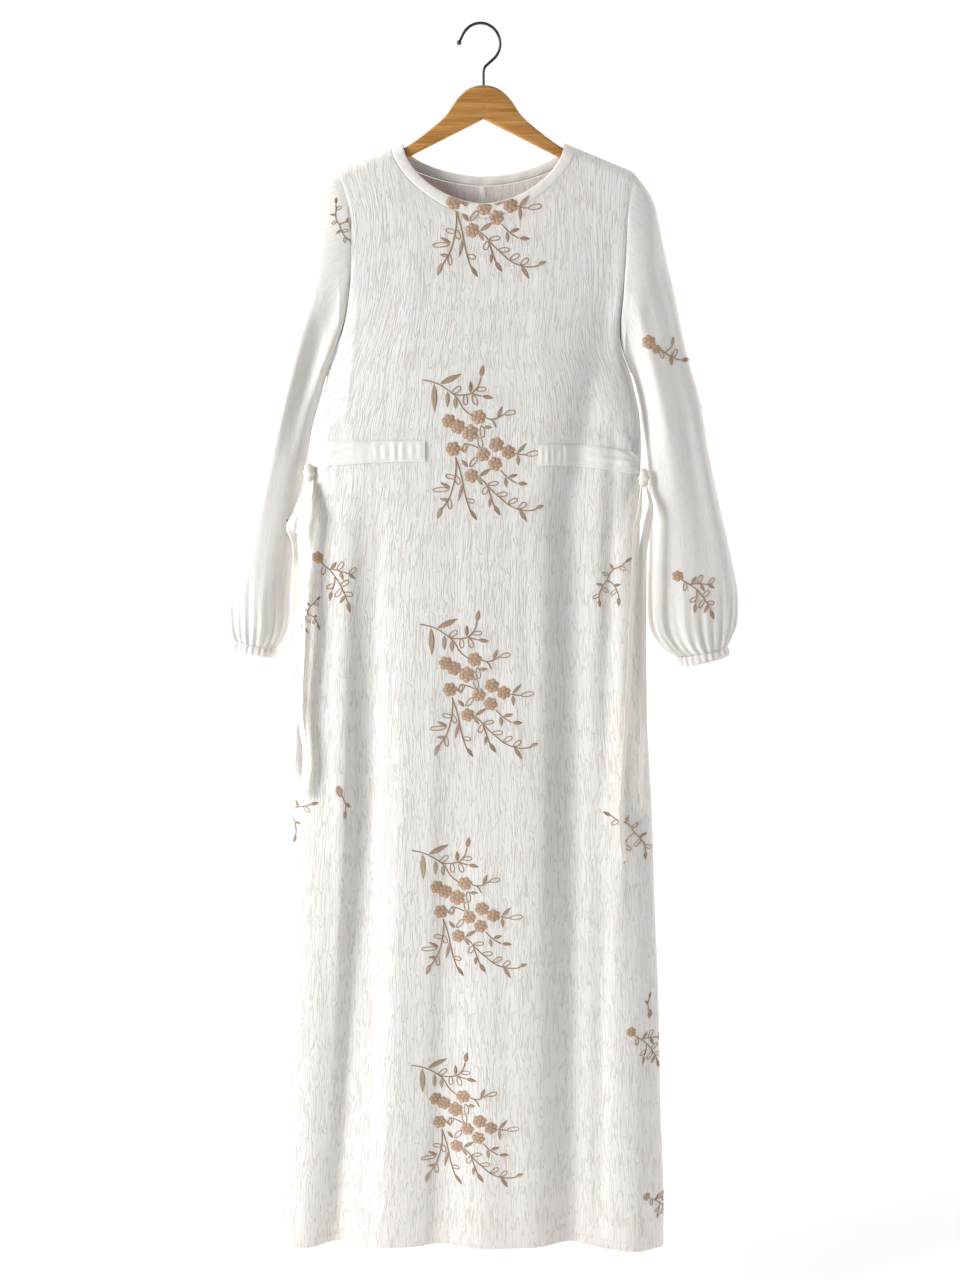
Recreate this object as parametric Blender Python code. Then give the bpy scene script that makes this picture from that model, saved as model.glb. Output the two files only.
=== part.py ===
"""A long embroidered dress hanging flat on a wooden hanger.

Units are metres, +Z up. The front faces -Y, and left and right are as seen from the front.
The origin is the underside of the hook wire, above the stem, where a rail holds the hanger.
Every cloth piece is a thin wall: outer points on a worked-out surface, inner points one
thickness behind them. Front and back share one depth function, so pieces meet at the seams.
"""

import math
from collections import namedtuple

import bmesh
import bpy
import numpy as np

# Cloth and gaps
CLOTH = 0.0016
BAND_CLOTH = 0.0020
STRIP_CLOTH = 0.0013
SEAM_GAP = 0.0003
SEAM_CLEARANCE = 1.2 * SEAM_GAP
LAID_GAP = 0.0008

# Heights of the dress
UNDERARM_Z = -0.400
HEM_Z = -1.560
HEM_SIDE_DROP = 0.012
CHEST_LEVELS = (0.0, 0.20, 0.40, 0.58, 0.74, 0.86, 0.94, 0.984, 1.0)
SKIRT_LEVELS = (
    -1.480, -1.320, -1.150, -0.990, -0.850, -0.730,
    -0.630, -0.562, -0.520, -0.484, -0.440,
)

# Shoulders and neck
NECK_HALF = 0.1096
NECK_CORNER_Z = -0.139
SHOULDER_SLOPE = 0.40
CURL = 0.014
BAND_EDGE_HALF = 0.0955
BAND_EDGE_Z = -0.1334
NeckCurve = namedtuple("NeckCurve", "half corner_z drop power")
FRONT_SEAM = NeckCurve(NECK_HALF, NECK_CORNER_Z, 0.082, 1.58)
FRONT_EDGE = NeckCurve(BAND_EDGE_HALF, BAND_EDGE_Z, 0.070, 1.75)
BACK_SEAM = NeckCurve(NECK_HALF, NECK_CORNER_Z, 0.044, 1.75)
BACK_EDGE = NeckCurve(BAND_EDGE_HALF, BAND_EDGE_Z, 0.038, 1.75)
NECKBAND_ROWS = 2
BACK_BAND_PUCKERS = 10
BACK_PUCKER_HEIGHT = 0.0009

# At the underarm the walls of body and sleeve meet along this outward and upward lean
UNDERARM_LEAN = (0.35, -0.94)

# Columns of the panels. Part of their spacing is even and the rest follows a sine, which
# brings them closer together at the side seams
SHOULDER_COLUMNS = 5
NECK_COLUMNS = 20
EVEN_SHARE = 0.6
TOP_BLEND_POWER = 1.5

# How squarely the body's depth falls away to its side seams, how wide a border the folds
# fade over, and the least and most of the depth that they take
SIDE_POWER = 4
FOLD_FADE = 0.12
MOST_RIDGE = -0.5
MOST_VALLEY = 0.85
SLOPE_STEP = 0.0015

# Edges that turn by more than this many degrees stay sharp
SHARP_ANGLE = 40

# Outline of the body: its edges, and how far front and back stand from the side seams
Outline = namedtuple("Outline", "z left right front back edge")
OUTLINE = (
    Outline(-0.100, -0.1750, 0.1780, 0.010, 0.010, 0.010),
    Outline(-0.166, -0.1750, 0.1780, 0.012, 0.011, 0.011),
    Outline(-0.188, -0.1665, 0.1745, 0.014, 0.012, 0.013),
    Outline(-0.212, -0.1595, 0.1717, 0.016, 0.014, 0.015),
    Outline(-0.262, -0.1580, 0.1695, 0.019, 0.017, 0.018),
    Outline(-0.307, -0.1610, 0.1675, 0.021, 0.019, 0.017),
    Outline(-0.346, -0.1685, 0.1650, 0.023, 0.020, 0.012),
    Outline(-0.376, -0.1790, 0.1680, 0.024, 0.021, 0.006),
    Outline(-0.400, -0.1885, 0.1775, 0.025, 0.022, 0.000),
    Outline(-0.427, -0.1950, 0.1855, 0.025, 0.022, 0.000),
    Outline(-0.455, -0.2040, 0.1915, 0.025, 0.022, 0.000),
    Outline(-0.487, -0.2110, 0.1940, 0.024, 0.021, 0.000),
    Outline(-0.519, -0.2105, 0.1940, 0.024, 0.021, 0.000),
    Outline(-0.622, -0.2245, 0.1950, 0.026, 0.022, 0.000),
    Outline(-0.685, -0.2310, 0.1975, 0.027, 0.023, 0.000),
    Outline(-0.814, -0.2420, 0.2060, 0.027, 0.023, 0.000),
    Outline(-0.946, -0.2450, 0.2160, 0.028, 0.024, 0.000),
    Outline(-1.081, -0.2530, 0.2230, 0.028, 0.024, 0.000),
    Outline(-1.220, -0.2610, 0.2310, 0.029, 0.025, 0.000),
    Outline(-1.362, -0.2700, 0.2365, 0.030, 0.026, 0.000),
    Outline(-1.507, -0.2800, 0.2440, 0.031, 0.027, 0.000),
    Outline(-1.580, -0.2830, 0.2450, 0.031, 0.027, 0.000),
)

# Folds of the body. A share is the part of the depth that a valley takes away, or,
# below zero, that a ridge adds
Fold = namedtuple("Fold", "z_top x_top z_mid x_mid x_hem share_mid share_hem width")
FRONT_FOLDS = (
    Fold(-0.510, -0.138, -0.950, -0.156, -0.198, 0.50, 0.78, 0.027),
    Fold(-0.230, 0.168, -0.560, 0.112, 0.119, 0.48, 0.66, 0.031),
    Fold(-0.720, -0.036, -1.150, -0.050, -0.058, 0.16, 0.36, 0.030),
    Fold(-0.700, 0.188, -1.150, 0.202, 0.206, -0.12, -0.34, 0.024),
    Fold(-0.800, 0.008, -1.200, 0.008, 0.008, -0.05, -0.12, 0.030),
)
BACK_FOLDS = (
    Fold(-0.300, -0.120, -0.700, -0.112, -0.128, 0.42, 0.62, 0.032),
    Fold(-0.480, 0.128, -0.900, 0.136, 0.164, 0.48, 0.70, 0.028),
    Fold(-0.700, 0.046, -1.150, 0.052, 0.060, 0.18, 0.38, 0.032),
    Fold(-0.760, -0.040, -1.150, -0.046, -0.050, -0.06, -0.16, 0.030),
    Fold(-0.700, -0.196, -1.150, -0.210, -0.220, -0.10, -0.28, 0.026),
)

# Sleeves, a row for each ring: its outer and inner points and its half depth. Hold is how
# much of the armhole's own shape the ring keeps, and gather is the height of the waves
# that the elastic draws in
Ring = namedtuple("Ring", "outer_x outer_z inner_x inner_z depth hold gather")
LEFT_SLEEVE = (
    Ring(-0.1930, -0.1790, -0.1905, -0.4050, 0.0190, 0.80, 0.0),
    Ring(-0.2080, -0.1990, -0.1922, -0.4090, 0.0215, 0.60, 0.0),
    Ring(-0.2170, -0.2280, -0.1940, -0.4140, 0.0235, 0.42, 0.0),
    Ring(-0.2260, -0.2600, -0.1958, -0.4200, 0.0245, 0.27, 0.0),
    Ring(-0.2410, -0.3180, -0.1995, -0.4340, 0.0250, 0.12, 0.0),
    Ring(-0.2550, -0.3780, -0.2045, -0.4500, 0.0250, 0.04, 0.0),
    Ring(-0.2700, -0.4380, -0.2110, -0.4740, 0.0245, 0.00, 0.0),
    Ring(-0.2860, -0.4990, -0.2168, -0.5080, 0.0240, 0.00, 0.0),
    Ring(-0.3015, -0.5600, -0.2275, -0.5630, 0.0240, 0.00, 0.0),
    Ring(-0.3180, -0.6220, -0.2360, -0.6230, 0.0245, 0.00, 0.0),
    Ring(-0.3265, -0.6740, -0.2420, -0.6760, 0.0250, 0.00, 0.0004),
    Ring(-0.3270, -0.7080, -0.2445, -0.7130, 0.0240, 0.00, 0.0012),
    Ring(-0.3225, -0.7270, -0.2530, -0.7360, 0.0210, 0.00, 0.0020),
    Ring(-0.3180, -0.7350, -0.2605, -0.7470, 0.0185, 0.00, 0.0020),
)
RIGHT_SLEEVE = (
    Ring(0.1930, -0.1830, 0.1800, -0.4030, 0.0190, 0.80, 0.0),
    Ring(0.2050, -0.2030, 0.1820, -0.4065, 0.0215, 0.60, 0.0),
    Ring(0.2120, -0.2300, 0.1840, -0.4110, 0.0235, 0.42, 0.0),
    Ring(0.2190, -0.2600, 0.1858, -0.4165, 0.0245, 0.27, 0.0),
    Ring(0.2340, -0.3180, 0.1892, -0.4300, 0.0250, 0.12, 0.0),
    Ring(0.2480, -0.3780, 0.1930, -0.4480, 0.0250, 0.04, 0.0),
    Ring(0.2660, -0.4380, 0.1965, -0.4720, 0.0245, 0.00, 0.0),
    Ring(0.2780, -0.4990, 0.2020, -0.5060, 0.0240, 0.00, 0.0),
    Ring(0.2920, -0.5600, 0.2065, -0.5630, 0.0240, 0.00, 0.0),
    Ring(0.3070, -0.6200, 0.2075, -0.6240, 0.0245, 0.00, 0.0),
    Ring(0.3180, -0.6740, 0.2065, -0.6800, 0.0250, 0.00, 0.0004),
    Ring(0.3180, -0.7140, 0.2110, -0.7220, 0.0245, 0.00, 0.0012),
    Ring(0.3120, -0.7350, 0.2290, -0.7480, 0.0215, 0.00, 0.0020),
    Ring(0.3080, -0.7440, 0.2440, -0.7590, 0.0185, 0.00, 0.0020),
)
ARMHOLE_SPLITS = (5, 5, 4, 4, 3, 1, 1, 1)
SLEEVE_CENTRE_Y = 0.010
SLEEVE_SET_BACK_ROWS = 6
ARMHOLE_DEPTH = 0.016
OVAL_POWER = 0.9
CREASE_POWER = 0.6

# Lengthwise creases of the sleeves. Place runs from 0 at the outer edge to 1 at the inner
Crease = namedtuple("Crease", "face place first last depth width")
LEFT_CREASES = (
    Crease("front", 0.62, 1, 8, 0.0065, 0.10),
    Crease("front", 0.30, 5, 11, 0.0035, 0.10),
    Crease("back", 0.50, 2, 9, 0.0060, 0.11),
    Crease("back", 0.25, 6, 11, 0.0035, 0.09),
)
RIGHT_CREASES = (
    Crease("front", 0.80, 1, 8, 0.0060, 0.09),
    Crease("front", 0.38, 5, 11, 0.0045, 0.11),
    Crease("back", 0.55, 2, 9, 0.0060, 0.11),
    Crease("back", 0.28, 6, 11, 0.0035, 0.09),
)

# Cuffs: narrow casings that hold elastic
CUFF_WIDTH = 0.0125
CUFF_DROP = 0.0015
CUFF_PUCKER = 0.0011
CUFF_BULGE = 0.0008
CUFF_ROWS = 2

# Waist bands, stitched flat on the front
Band = namedtuple("Band", "x_side x_inner top_side top_inner low_side low_inner puckers")
LEFT_BAND = Band(-0.2065, -0.0709, -0.4870, -0.4840, -0.5180, -0.5090, 6)
RIGHT_BAND = Band(0.1900, 0.0666, -0.5000, -0.4880, -0.5270, -0.5140, 5)
BAND_COLUMNS = 30
BAND_ROWS = 2
BAND_PUCKER = 0.0008
BAND_PUCKERED_SHARE = 0.45

# Ties: narrow strips that hang from a knot at each side seam. Turn is the angle of the
# strip's width from the X axis, in degrees
TIE_WIDTH = 0.0100
TIE_SECTIONS = 26
TiePoint = namedtuple("TiePoint", "x y z turn")
LEFT_TIE_OUTER = (
    TiePoint(-0.2175, -0.0090, -0.5355, 75.0),
    TiePoint(-0.2225, -0.0165, -0.5520, 60.0),
    TiePoint(-0.2290, -0.0210, -0.5720, 35.0),
    TiePoint(-0.2370, -0.0230, -0.5900, 20.0),
    TiePoint(-0.2300, -0.0240, -0.6120, -25.0),
    TiePoint(-0.2300, -0.0225, -0.6600, 5.0),
    TiePoint(-0.2340, -0.0215, -0.7250, 12.0),
    TiePoint(-0.2385, -0.0205, -0.7850, 25.0),
    TiePoint(-0.2415, -0.0200, -0.8250, 55.0),
    TiePoint(-0.2460, -0.0185, -0.8650, 60.0),
    TiePoint(-0.2500, -0.0180, -0.9040, 50.0),
)
LEFT_TIE_INNER = (
    TiePoint(-0.2110, -0.0110, -0.5356, 75.0),
    TiePoint(-0.2125, -0.0185, -0.5520, 65.0),
    TiePoint(-0.2155, -0.0250, -0.5680, 55.0),
    TiePoint(-0.2190, -0.0270, -0.5900, 50.0),
    TiePoint(-0.2250, -0.0290, -0.6060, 40.0),
    TiePoint(-0.2235, -0.0285, -0.6400, 60.0),
    TiePoint(-0.2215, -0.0280, -0.7150, 70.0),
    TiePoint(-0.2270, -0.0270, -0.7950, 60.0),
    TiePoint(-0.2285, -0.0265, -0.8300, 45.0),
    TiePoint(-0.2240, -0.0270, -0.8850, 60.0),
    TiePoint(-0.2320, -0.0260, -0.9290, 55.0),
)
RIGHT_TIE_INNER = (
    TiePoint(0.1942, -0.0110, -0.5417, -75.0),
    TiePoint(0.1920, -0.0185, -0.5580, -65.0),
    TiePoint(0.1900, -0.0250, -0.5740, -55.0),
    TiePoint(0.1865, -0.0265, -0.6000, -50.0),
    TiePoint(0.1850, -0.0275, -0.6500, -60.0),
    TiePoint(0.1830, -0.0280, -0.7300, -55.0),
    TiePoint(0.1800, -0.0290, -0.8200, -50.0),
    TiePoint(0.1760, -0.0300, -0.9100, -55.0),
    TiePoint(0.1735, -0.0310, -0.9500, -60.0),
    TiePoint(0.1765, -0.0310, -0.9850, -50.0),
    TiePoint(0.1790, -0.0310, -1.0180, -45.0),
)
RIGHT_TIE_OUTER = (
    TiePoint(0.2002, -0.0090, -0.5420, -75.0),
    TiePoint(0.2040, -0.0165, -0.5580, -60.0),
    TiePoint(0.2040, -0.0205, -0.5720, -35.0),
    TiePoint(0.2010, -0.0230, -0.5900, -20.0),
    TiePoint(0.1965, -0.0235, -0.6250, 8.0),
    TiePoint(0.1970, -0.0230, -0.6900, 4.0),
    TiePoint(0.1985, -0.0225, -0.7700, -6.0),
    TiePoint(0.2010, -0.0220, -0.8300, -35.0),
    TiePoint(0.2000, -0.0225, -0.8900, -50.0),
    TiePoint(0.2005, -0.0225, -0.9250, -45.0),
    TiePoint(0.2065, -0.0215, -0.9530, -40.0),
)

# Knots: a wrapped lump of tie against the end of each waist band
Knot = namedtuple("Knot", "x y z")
LEFT_KNOT = Knot(-0.2140, -0.0090, -0.5245)
RIGHT_KNOT = Knot(0.1970, -0.0090, -0.5310)
KNOT_HALF = (0.0070, 0.0055, 0.0115)
KNOT_SIDES = 12
KNOT_ROWS = 9
KNOT_END_ROWS = 0.6
KNOT_GROOVE = 0.0010
KNOT_GROOVES = 3

# Hanger
WOOD_HALF_LENGTH = 0.164
WOOD_HALF_THICK = 0.0055
WOOD_TIP_HALF_THICK = 0.0048
WOOD_EDGE_ROUND = 0.0040
WOOD_MOST_ROUND_SHARE = 0.45
WOOD_THINS_FROM_X = 0.100
WOOD_SECTIONS = 26
WOOD_LAST_TURN = 0.96 * math.pi / 2
WOOD_CORNER_POINTS = 3
WoodEdge = namedtuple("WoodEdge", "x top low")
WOOD_EDGES = (
    WoodEdge(0.000, -0.0675, -0.1065),
    WoodEdge(0.010, -0.0688, -0.1114),
    WoodEdge(0.021, -0.0736, -0.1168),
    WoodEdge(0.032, -0.0839, -0.1221),
    WoodEdge(0.044, -0.1008, -0.1280),
    WoodEdge(0.061, -0.1159, -0.1363),
    WoodEdge(0.0765, -0.1277, -0.1438),
    WoodEdge(0.096, -0.1402, -0.1533),
    WoodEdge(0.125, -0.1502, -0.1665),
    WoodEdge(0.150, -0.1598, -0.1762),
    WoodEdge(0.160, -0.1640, -0.1785),
    WoodEdge(0.164, -0.1685, -0.1765),
)
STEM_BORE_RADIUS = 0.00205
STEM_BORE_DEPTH = 0.0140

# Hook wire
WIRE_RADIUS = 0.00175
HOOK_RADIUS = 0.02305
HOOK_CENTRE_X = -0.0035
HOOK_CENTRE_Z = -0.0210
HOOK_BALL_RADIUS = 0.0030
HOOK_BALL_TURNS = (170, 140, 110, 80, 50, 36)
HOOK_TIP = (-0.0287, -0.0198)
HOOK_ARC_FROM = 152.0
HOOK_ARC_TO = -48.0
HOOK_ARC_STEPS = 22
HOOK_RETURN = ((0.0055, -0.0436), (0.0020, -0.0468), (0.0005, -0.0500), (0.0, -0.0540))
STEM_SEAT = 0.0132
WIRE_SIDES = 8

# Finishes, with colours as linear values
Finish = namedtuple("Finish", "colour roughness metallic")
IVORY_CREPE = Finish((0.86, 0.83, 0.79), 0.85, 0.0)
IVORY_BAND = Finish((0.90, 0.87, 0.83), 0.55, 0.0)
IVORY_TIE = Finish((0.86, 0.83, 0.79), 0.75, 0.0)
HONEY_WOOD = Finish((0.58, 0.29, 0.08), 0.45, 0.0)
DARK_STEEL = Finish((0.10, 0.10, 0.10), 0.30, 1.0)


def clear_scene():
    """Remove every object that is in the scene."""
    for thing in list(bpy.data.objects):
        bpy.data.objects.remove(thing)


def material(name, finish):
    """A plain material with one of the finishes."""
    made = bpy.data.materials.new(name)
    made.use_nodes = True
    shader = made.node_tree.nodes["Principled BSDF"]
    shader.inputs["Base Color"].default_value = (*finish.colour, 1.0)
    shader.inputs["Roughness"].default_value = finish.roughness
    shader.inputs["Metallic"].default_value = finish.metallic
    return made


def smooth_table(rows, key, column, at):
    """A cubic through one column of a table, read at one or many places."""
    xs = np.array([getattr(row, key) for row in rows])
    ys = np.array([getattr(row, column) for row in rows])
    if xs[0] > xs[-1]:
        xs = xs[::-1]
        ys = ys[::-1]
    slopes = np.gradient(ys, xs)
    at = np.clip(np.asarray(at, dtype=float), xs[0], xs[-1])
    i = np.clip(np.searchsorted(xs, at) - 1, 0, len(xs) - 2)
    step = xs[i + 1] - xs[i]
    t = (at - xs[i]) / step
    rise = 2 * t**3 - 3 * t**2 + 1
    return (
        rise * ys[i]
        + (t**3 - 2 * t**2 + t) * step * slopes[i]
        + (1 - rise) * ys[i + 1]
        + (t**3 - t**2) * step * slopes[i + 1]
    )


def outline(column, z):
    """One column of the body's outline at a height."""
    return smooth_table(OUTLINE, "z", column, z)


def smoothstep(t):
    """From 0 to 1 with level ends."""
    t = np.clip(t, 0.0, 1.0)
    return t * t * (3.0 - 2.0 * t)


def shoulder_z(x):
    """Height of the shoulder line over any x, carried on across the neck."""
    return NECK_CORNER_Z - SHOULDER_SLOPE * (np.abs(x) - NECK_HALF)


def fold_share(fold, x, z):
    """How much of the depth one fold takes at a point: a soft trough along its line."""
    path_z = [HEM_Z, fold.z_mid, fold.z_top]
    centre = np.interp(z, path_z, [fold.x_hem, fold.x_mid, fold.x_top])
    strength = np.interp(z, path_z, [fold.share_hem, fold.share_mid, 0.0])
    return strength * np.exp(-(((x - centre) / fold.width) ** 2))


def body_depth(x, z, face):
    """How far the front or the back stands out from the side seams' plane.

    It is a full, round-edged pillow across, bent over the hanger within CURL of the
    shoulder line, less the share that the folds take.
    """
    left = outline("left", z)
    right = outline("right", z)
    edge = outline("edge", z)
    across = np.clip(np.abs((2.0 * x - left - right) / (right - left)), 0.0, 1.0)
    depth = edge + (outline(face, z) - edge) * np.sqrt(1.0 - across**SIDE_POWER)
    over = np.clip((shoulder_z(x) - z) / CURL, 0.0, 1.0)
    depth = depth * np.sqrt(1.0 - (1.0 - over) ** 2)
    folds = FRONT_FOLDS if face == "front" else BACK_FOLDS
    share = sum(fold_share(fold, x, z) for fold in folds)
    edge_fade = smoothstep((1.0 - across) / FOLD_FADE)
    return depth * (1.0 - np.clip(share, MOST_RIDGE, MOST_VALLEY) * edge_fade)


def body_points(x, z, face):
    """Points on the outer surface of the front (-Y) or the back (+Y)."""
    way = -1.0 if face == "front" else 1.0
    y = way * (body_depth(x, z, face) + SEAM_GAP / 2)
    return np.stack([x, y, z], axis=-1)


def body_normals(x, z, face):
    """Outward directions of the same surface, from the slopes of its depth."""
    step = SLOPE_STEP
    way = -1.0 if face == "front" else 1.0
    slope_x = (body_depth(x + step, z, face) - body_depth(x - step, z, face)) / (2 * step)
    slope_z = (body_depth(x, z + step, face) - body_depth(x, z - step, face)) / (2 * step)
    normals = np.stack([-slope_x, np.full_like(slope_x, way), -slope_z], axis=-1)
    return normals / np.linalg.norm(normals, axis=-1, keepdims=True)


def neck_points(curve, columns):
    """x and z along a neckline, from its left corner round to its right one."""
    turn = np.linspace(0.0, math.pi, columns + 1)
    power = 2.0 / curve.power
    x = -np.sign(np.cos(turn)) * np.abs(np.cos(turn)) ** power * curve.half
    z = curve.corner_z - np.sin(turn) ** power * curve.drop
    return x, z


def grid_normals(points, way):
    """Outward directions of a grid, from the differences between its points."""
    along = np.gradient(points, axis=1)
    up = np.gradient(points, axis=0)
    normals = np.cross(along, up) * way
    return normals / np.linalg.norm(normals, axis=-1, keepdims=True)


def level_at(normals, rows, columns):
    """Turn the directions on a seam into the plane of the seam, so that walls meet there."""
    normals[rows, columns, 1] = 0.0
    size = np.linalg.norm(normals[rows, columns], axis=-1, keepdims=True)
    normals[rows, columns] /= size


def add_object(name, mesh, finish):
    """Put a mesh in the scene as one named, smooth piece."""
    mesh.materials.append(finish)
    mesh.shade_smooth()
    mesh.set_sharp_from_angle(angle=math.radians(SHARP_ANGLE))
    piece = bpy.data.objects.new(name, mesh)
    bpy.context.scene.collection.objects.link(piece)
    return piece


def mesh_from(name, points, faces):
    """A mesh whose faces all point out."""
    mesh = bpy.data.meshes.new(name)
    mesh.from_pydata([tuple(point) for point in points], [], faces)
    work = bmesh.new()
    work.from_mesh(mesh)
    bmesh.ops.triangulate(work, faces=work.faces)
    bmesh.ops.recalc_face_normals(work, faces=work.faces)
    work.to_mesh(mesh)
    work.free()
    return mesh


def wall(name, outer, inner, finish, closed=False):
    """A cloth wall between two grids of points: both skins and the edges between them.

    A closed wall joins its last column to its first, as a sleeve does.
    """
    rows, columns = outer.shape[:2]
    points = np.concatenate([outer.reshape(-1, 3), inner.reshape(-1, 3)])
    behind = rows * columns

    def at(row, column):
        return row * columns + column % columns

    spans = columns if closed else columns - 1
    faces = []
    for row in range(rows - 1):
        for column in range(spans):
            quad = (
                at(row, column),
                at(row, column + 1),
                at(row + 1, column + 1),
                at(row + 1, column),
            )
            faces.append(quad)
            faces.append(tuple(behind + i for i in reversed(quad)))
    for column in range(spans):
        for row in (0, rows - 1):
            a = at(row, column)
            b = at(row, column + 1)
            faces.append((a, b, behind + b, behind + a))
    if not closed:
        for row in range(rows - 1):
            for column in (0, columns - 1):
                a = at(row, column)
                b = at(row + 1, column)
                faces.append((a, b, behind + b, behind + a))
    return add_object(name, mesh_from(name, points, faces), finish)


def tube(name, sections, finish):
    """A solid lofted through closed sections, with flat ends."""
    rows, columns = sections.shape[:2]
    faces = [tuple(range(columns)), tuple((rows - 1) * columns + i for i in range(columns))]
    for row in range(rows - 1):
        for column in range(columns):
            here = row * columns
            after = (column + 1) % columns
            faces.append(
                (here + column, here + after, here + columns + after, here + columns + column)
            )
    return add_object(name, mesh_from(name, sections.reshape(-1, 3), faces), finish)


def top_line(seam):
    """x and z along a panel's top: shoulder, neck seam, shoulder."""
    neck_x, neck_z = neck_points(seam, NECK_COLUMNS)
    tip_left = outline("left", shoulder_z(OUTLINE[0].left))
    tip_right = outline("right", shoulder_z(OUTLINE[0].right))
    left_x = np.linspace(tip_left, -NECK_HALF, SHOULDER_COLUMNS + 1)[:-1]
    right_x = np.linspace(NECK_HALF, tip_right, SHOULDER_COLUMNS + 1)[1:]
    x = np.concatenate([left_x, neck_x, right_x])
    z = np.concatenate([shoulder_z(left_x), neck_z, shoulder_z(right_x)])
    return x, z


def across_places(columns):
    """Places of the columns from -1 to 1, closer together at the side seams."""
    even = np.linspace(-1.0, 1.0, columns + 1)
    return EVEN_SHARE * even + (1 - EVEN_SHARE) * np.sin(even * math.pi / 2)


def place_on_body(place, z):
    """x for a place from -1 to 1 across the body at a height."""
    left = outline("left", z)
    right = outline("right", z)
    return (left + right) / 2 + place * (right - left) / 2


def panel_grid(face, seam):
    """Outer points and directions of a whole front or back, hem to shoulders."""
    top_x, top_z = top_line(seam)
    places = across_places(len(top_x) - 1)
    left = outline("left", top_z)
    right = outline("right", top_z)
    top_places = (2 * top_x - left - right) / (right - left)
    hem_z = HEM_Z - HEM_SIDE_DROP * np.abs(places) ** 3
    rows_x = [place_on_body(places, hem_z)]
    rows_z = [hem_z]
    for level in SKIRT_LEVELS:
        z = np.full_like(places, level)
        rows_x.append(place_on_body(places, z))
        rows_z.append(z)
    for level in CHEST_LEVELS:
        z = UNDERARM_Z + (top_z - UNDERARM_Z) * level
        blend = level**TOP_BLEND_POWER
        rows_x.append(place_on_body(places * (1 - blend) + top_places * blend, z))
        rows_z.append(z)
    points = body_points(np.array(rows_x), np.array(rows_z), face)
    normals = grid_normals(points, 1.0 if face == "front" else -1.0)
    underarm = len(SKIRT_LEVELS) + 1
    level_at(normals, slice(0, underarm + 1), 0)
    level_at(normals, slice(0, underarm + 1), -1)
    level_at(normals, -1, slice(0, SHOULDER_COLUMNS + 1))
    level_at(normals, -1, slice(-SHOULDER_COLUMNS - 1, None))
    for column, way in ((0, -1.0), (-1, 1.0)):
        normals[underarm, column] = (way * UNDERARM_LEAN[0], 0.0, UNDERARM_LEAN[1])
    return points, normals


def front_panel(finish):
    """The front, cut in one piece."""
    points, normals = panel_grid("front", FRONT_SEAM)
    wall("front_panel", points, points - normals * CLOTH, finish)
    return points, normals


def back_panels(finish):
    """The back, cut in two pieces that meet at a seam down its centre."""
    points, normals = panel_grid("back", BACK_SEAM)
    middle = points.shape[1] // 2
    for name, span, way in (
        ("back_left", slice(0, middle + 1), -1.0),
        ("back_right", slice(middle, None), 1.0),
    ):
        outer = points[:, span].copy()
        inner = outer - normals[:, span] * CLOTH
        seam = -1 if way < 0 else 0
        outer[:, seam, 0] += way * SEAM_GAP / 2
        inner[:, seam, 0] = outer[:, seam, 0]
        wall(name, outer, inner, finish)
    return points, normals


def split_line(points, splits):
    """A line with each of its spans cut into a number of equal steps."""
    parts = []
    for start, end, count in zip(points[:-1], points[1:], splits):
        steps = np.arange(count)[:, None] / count
        parts.append(start + (end - start) * steps)
    return np.concatenate(parts + [points[-1:]])


def armhole_ring(front, back, column, way):
    """The ring that a sleeve is sewn to: down the front's edge and up the back's."""
    rows = slice(-len(CHEST_LEVELS), None)
    halves = []
    for points, normals in (front, back):
        edge = split_line(points[rows, column], ARMHOLE_SPLITS)[::-1]
        lean = split_line(normals[rows, column], ARMHOLE_SPLITS)[::-1]
        halves.append((edge, lean))
    (front_edge, front_lean), (back_edge, back_lean) = halves
    for end in (0, -1):
        middle = (front_edge[end] + back_edge[end]) / 2
        front_edge[end] = middle
    ring = np.concatenate([front_edge, back_edge[-2:0:-1]])
    lean = np.concatenate([front_lean, back_lean[-2:0:-1]])
    ring[:, 0] += way * SEAM_CLEARANCE
    return ring, lean


def sleeve_place(count):
    """Places round a ring: outer edge, down the front, inner edge, up the back."""
    half = count // 2
    index = np.arange(count)
    place = np.where(index <= half, index / half, (count - index) / half)
    face = np.where(index <= half, -1.0, 1.0)
    return place, face


def plain_ring(outer, inner, depth, place, face):
    """An oval through an outer and an inner point, with a half depth along Y."""
    share = (1.0 - np.cos(math.pi * place)) / 2
    ring = outer + (inner - outer) * share[:, None]
    ring[:, 1] += face * depth * np.sin(math.pi * place) ** OVAL_POWER
    return ring


def crease_depth(creases, row, place, face):
    """How far the creases press a ring in at each of its places."""
    total = np.zeros_like(place)
    for crease in creases:
        on_face = face == (-1.0 if crease.face == "front" else 1.0)
        along = (row - crease.first) / (crease.last - crease.first)
        strength = math.sin(math.pi * along) ** CREASE_POWER if 0.0 < along < 1.0 else 0.0
        shape = np.exp(-(((place - crease.place) / crease.width) ** 2))
        total += on_face * strength * crease.depth * shape
    return total


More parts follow.
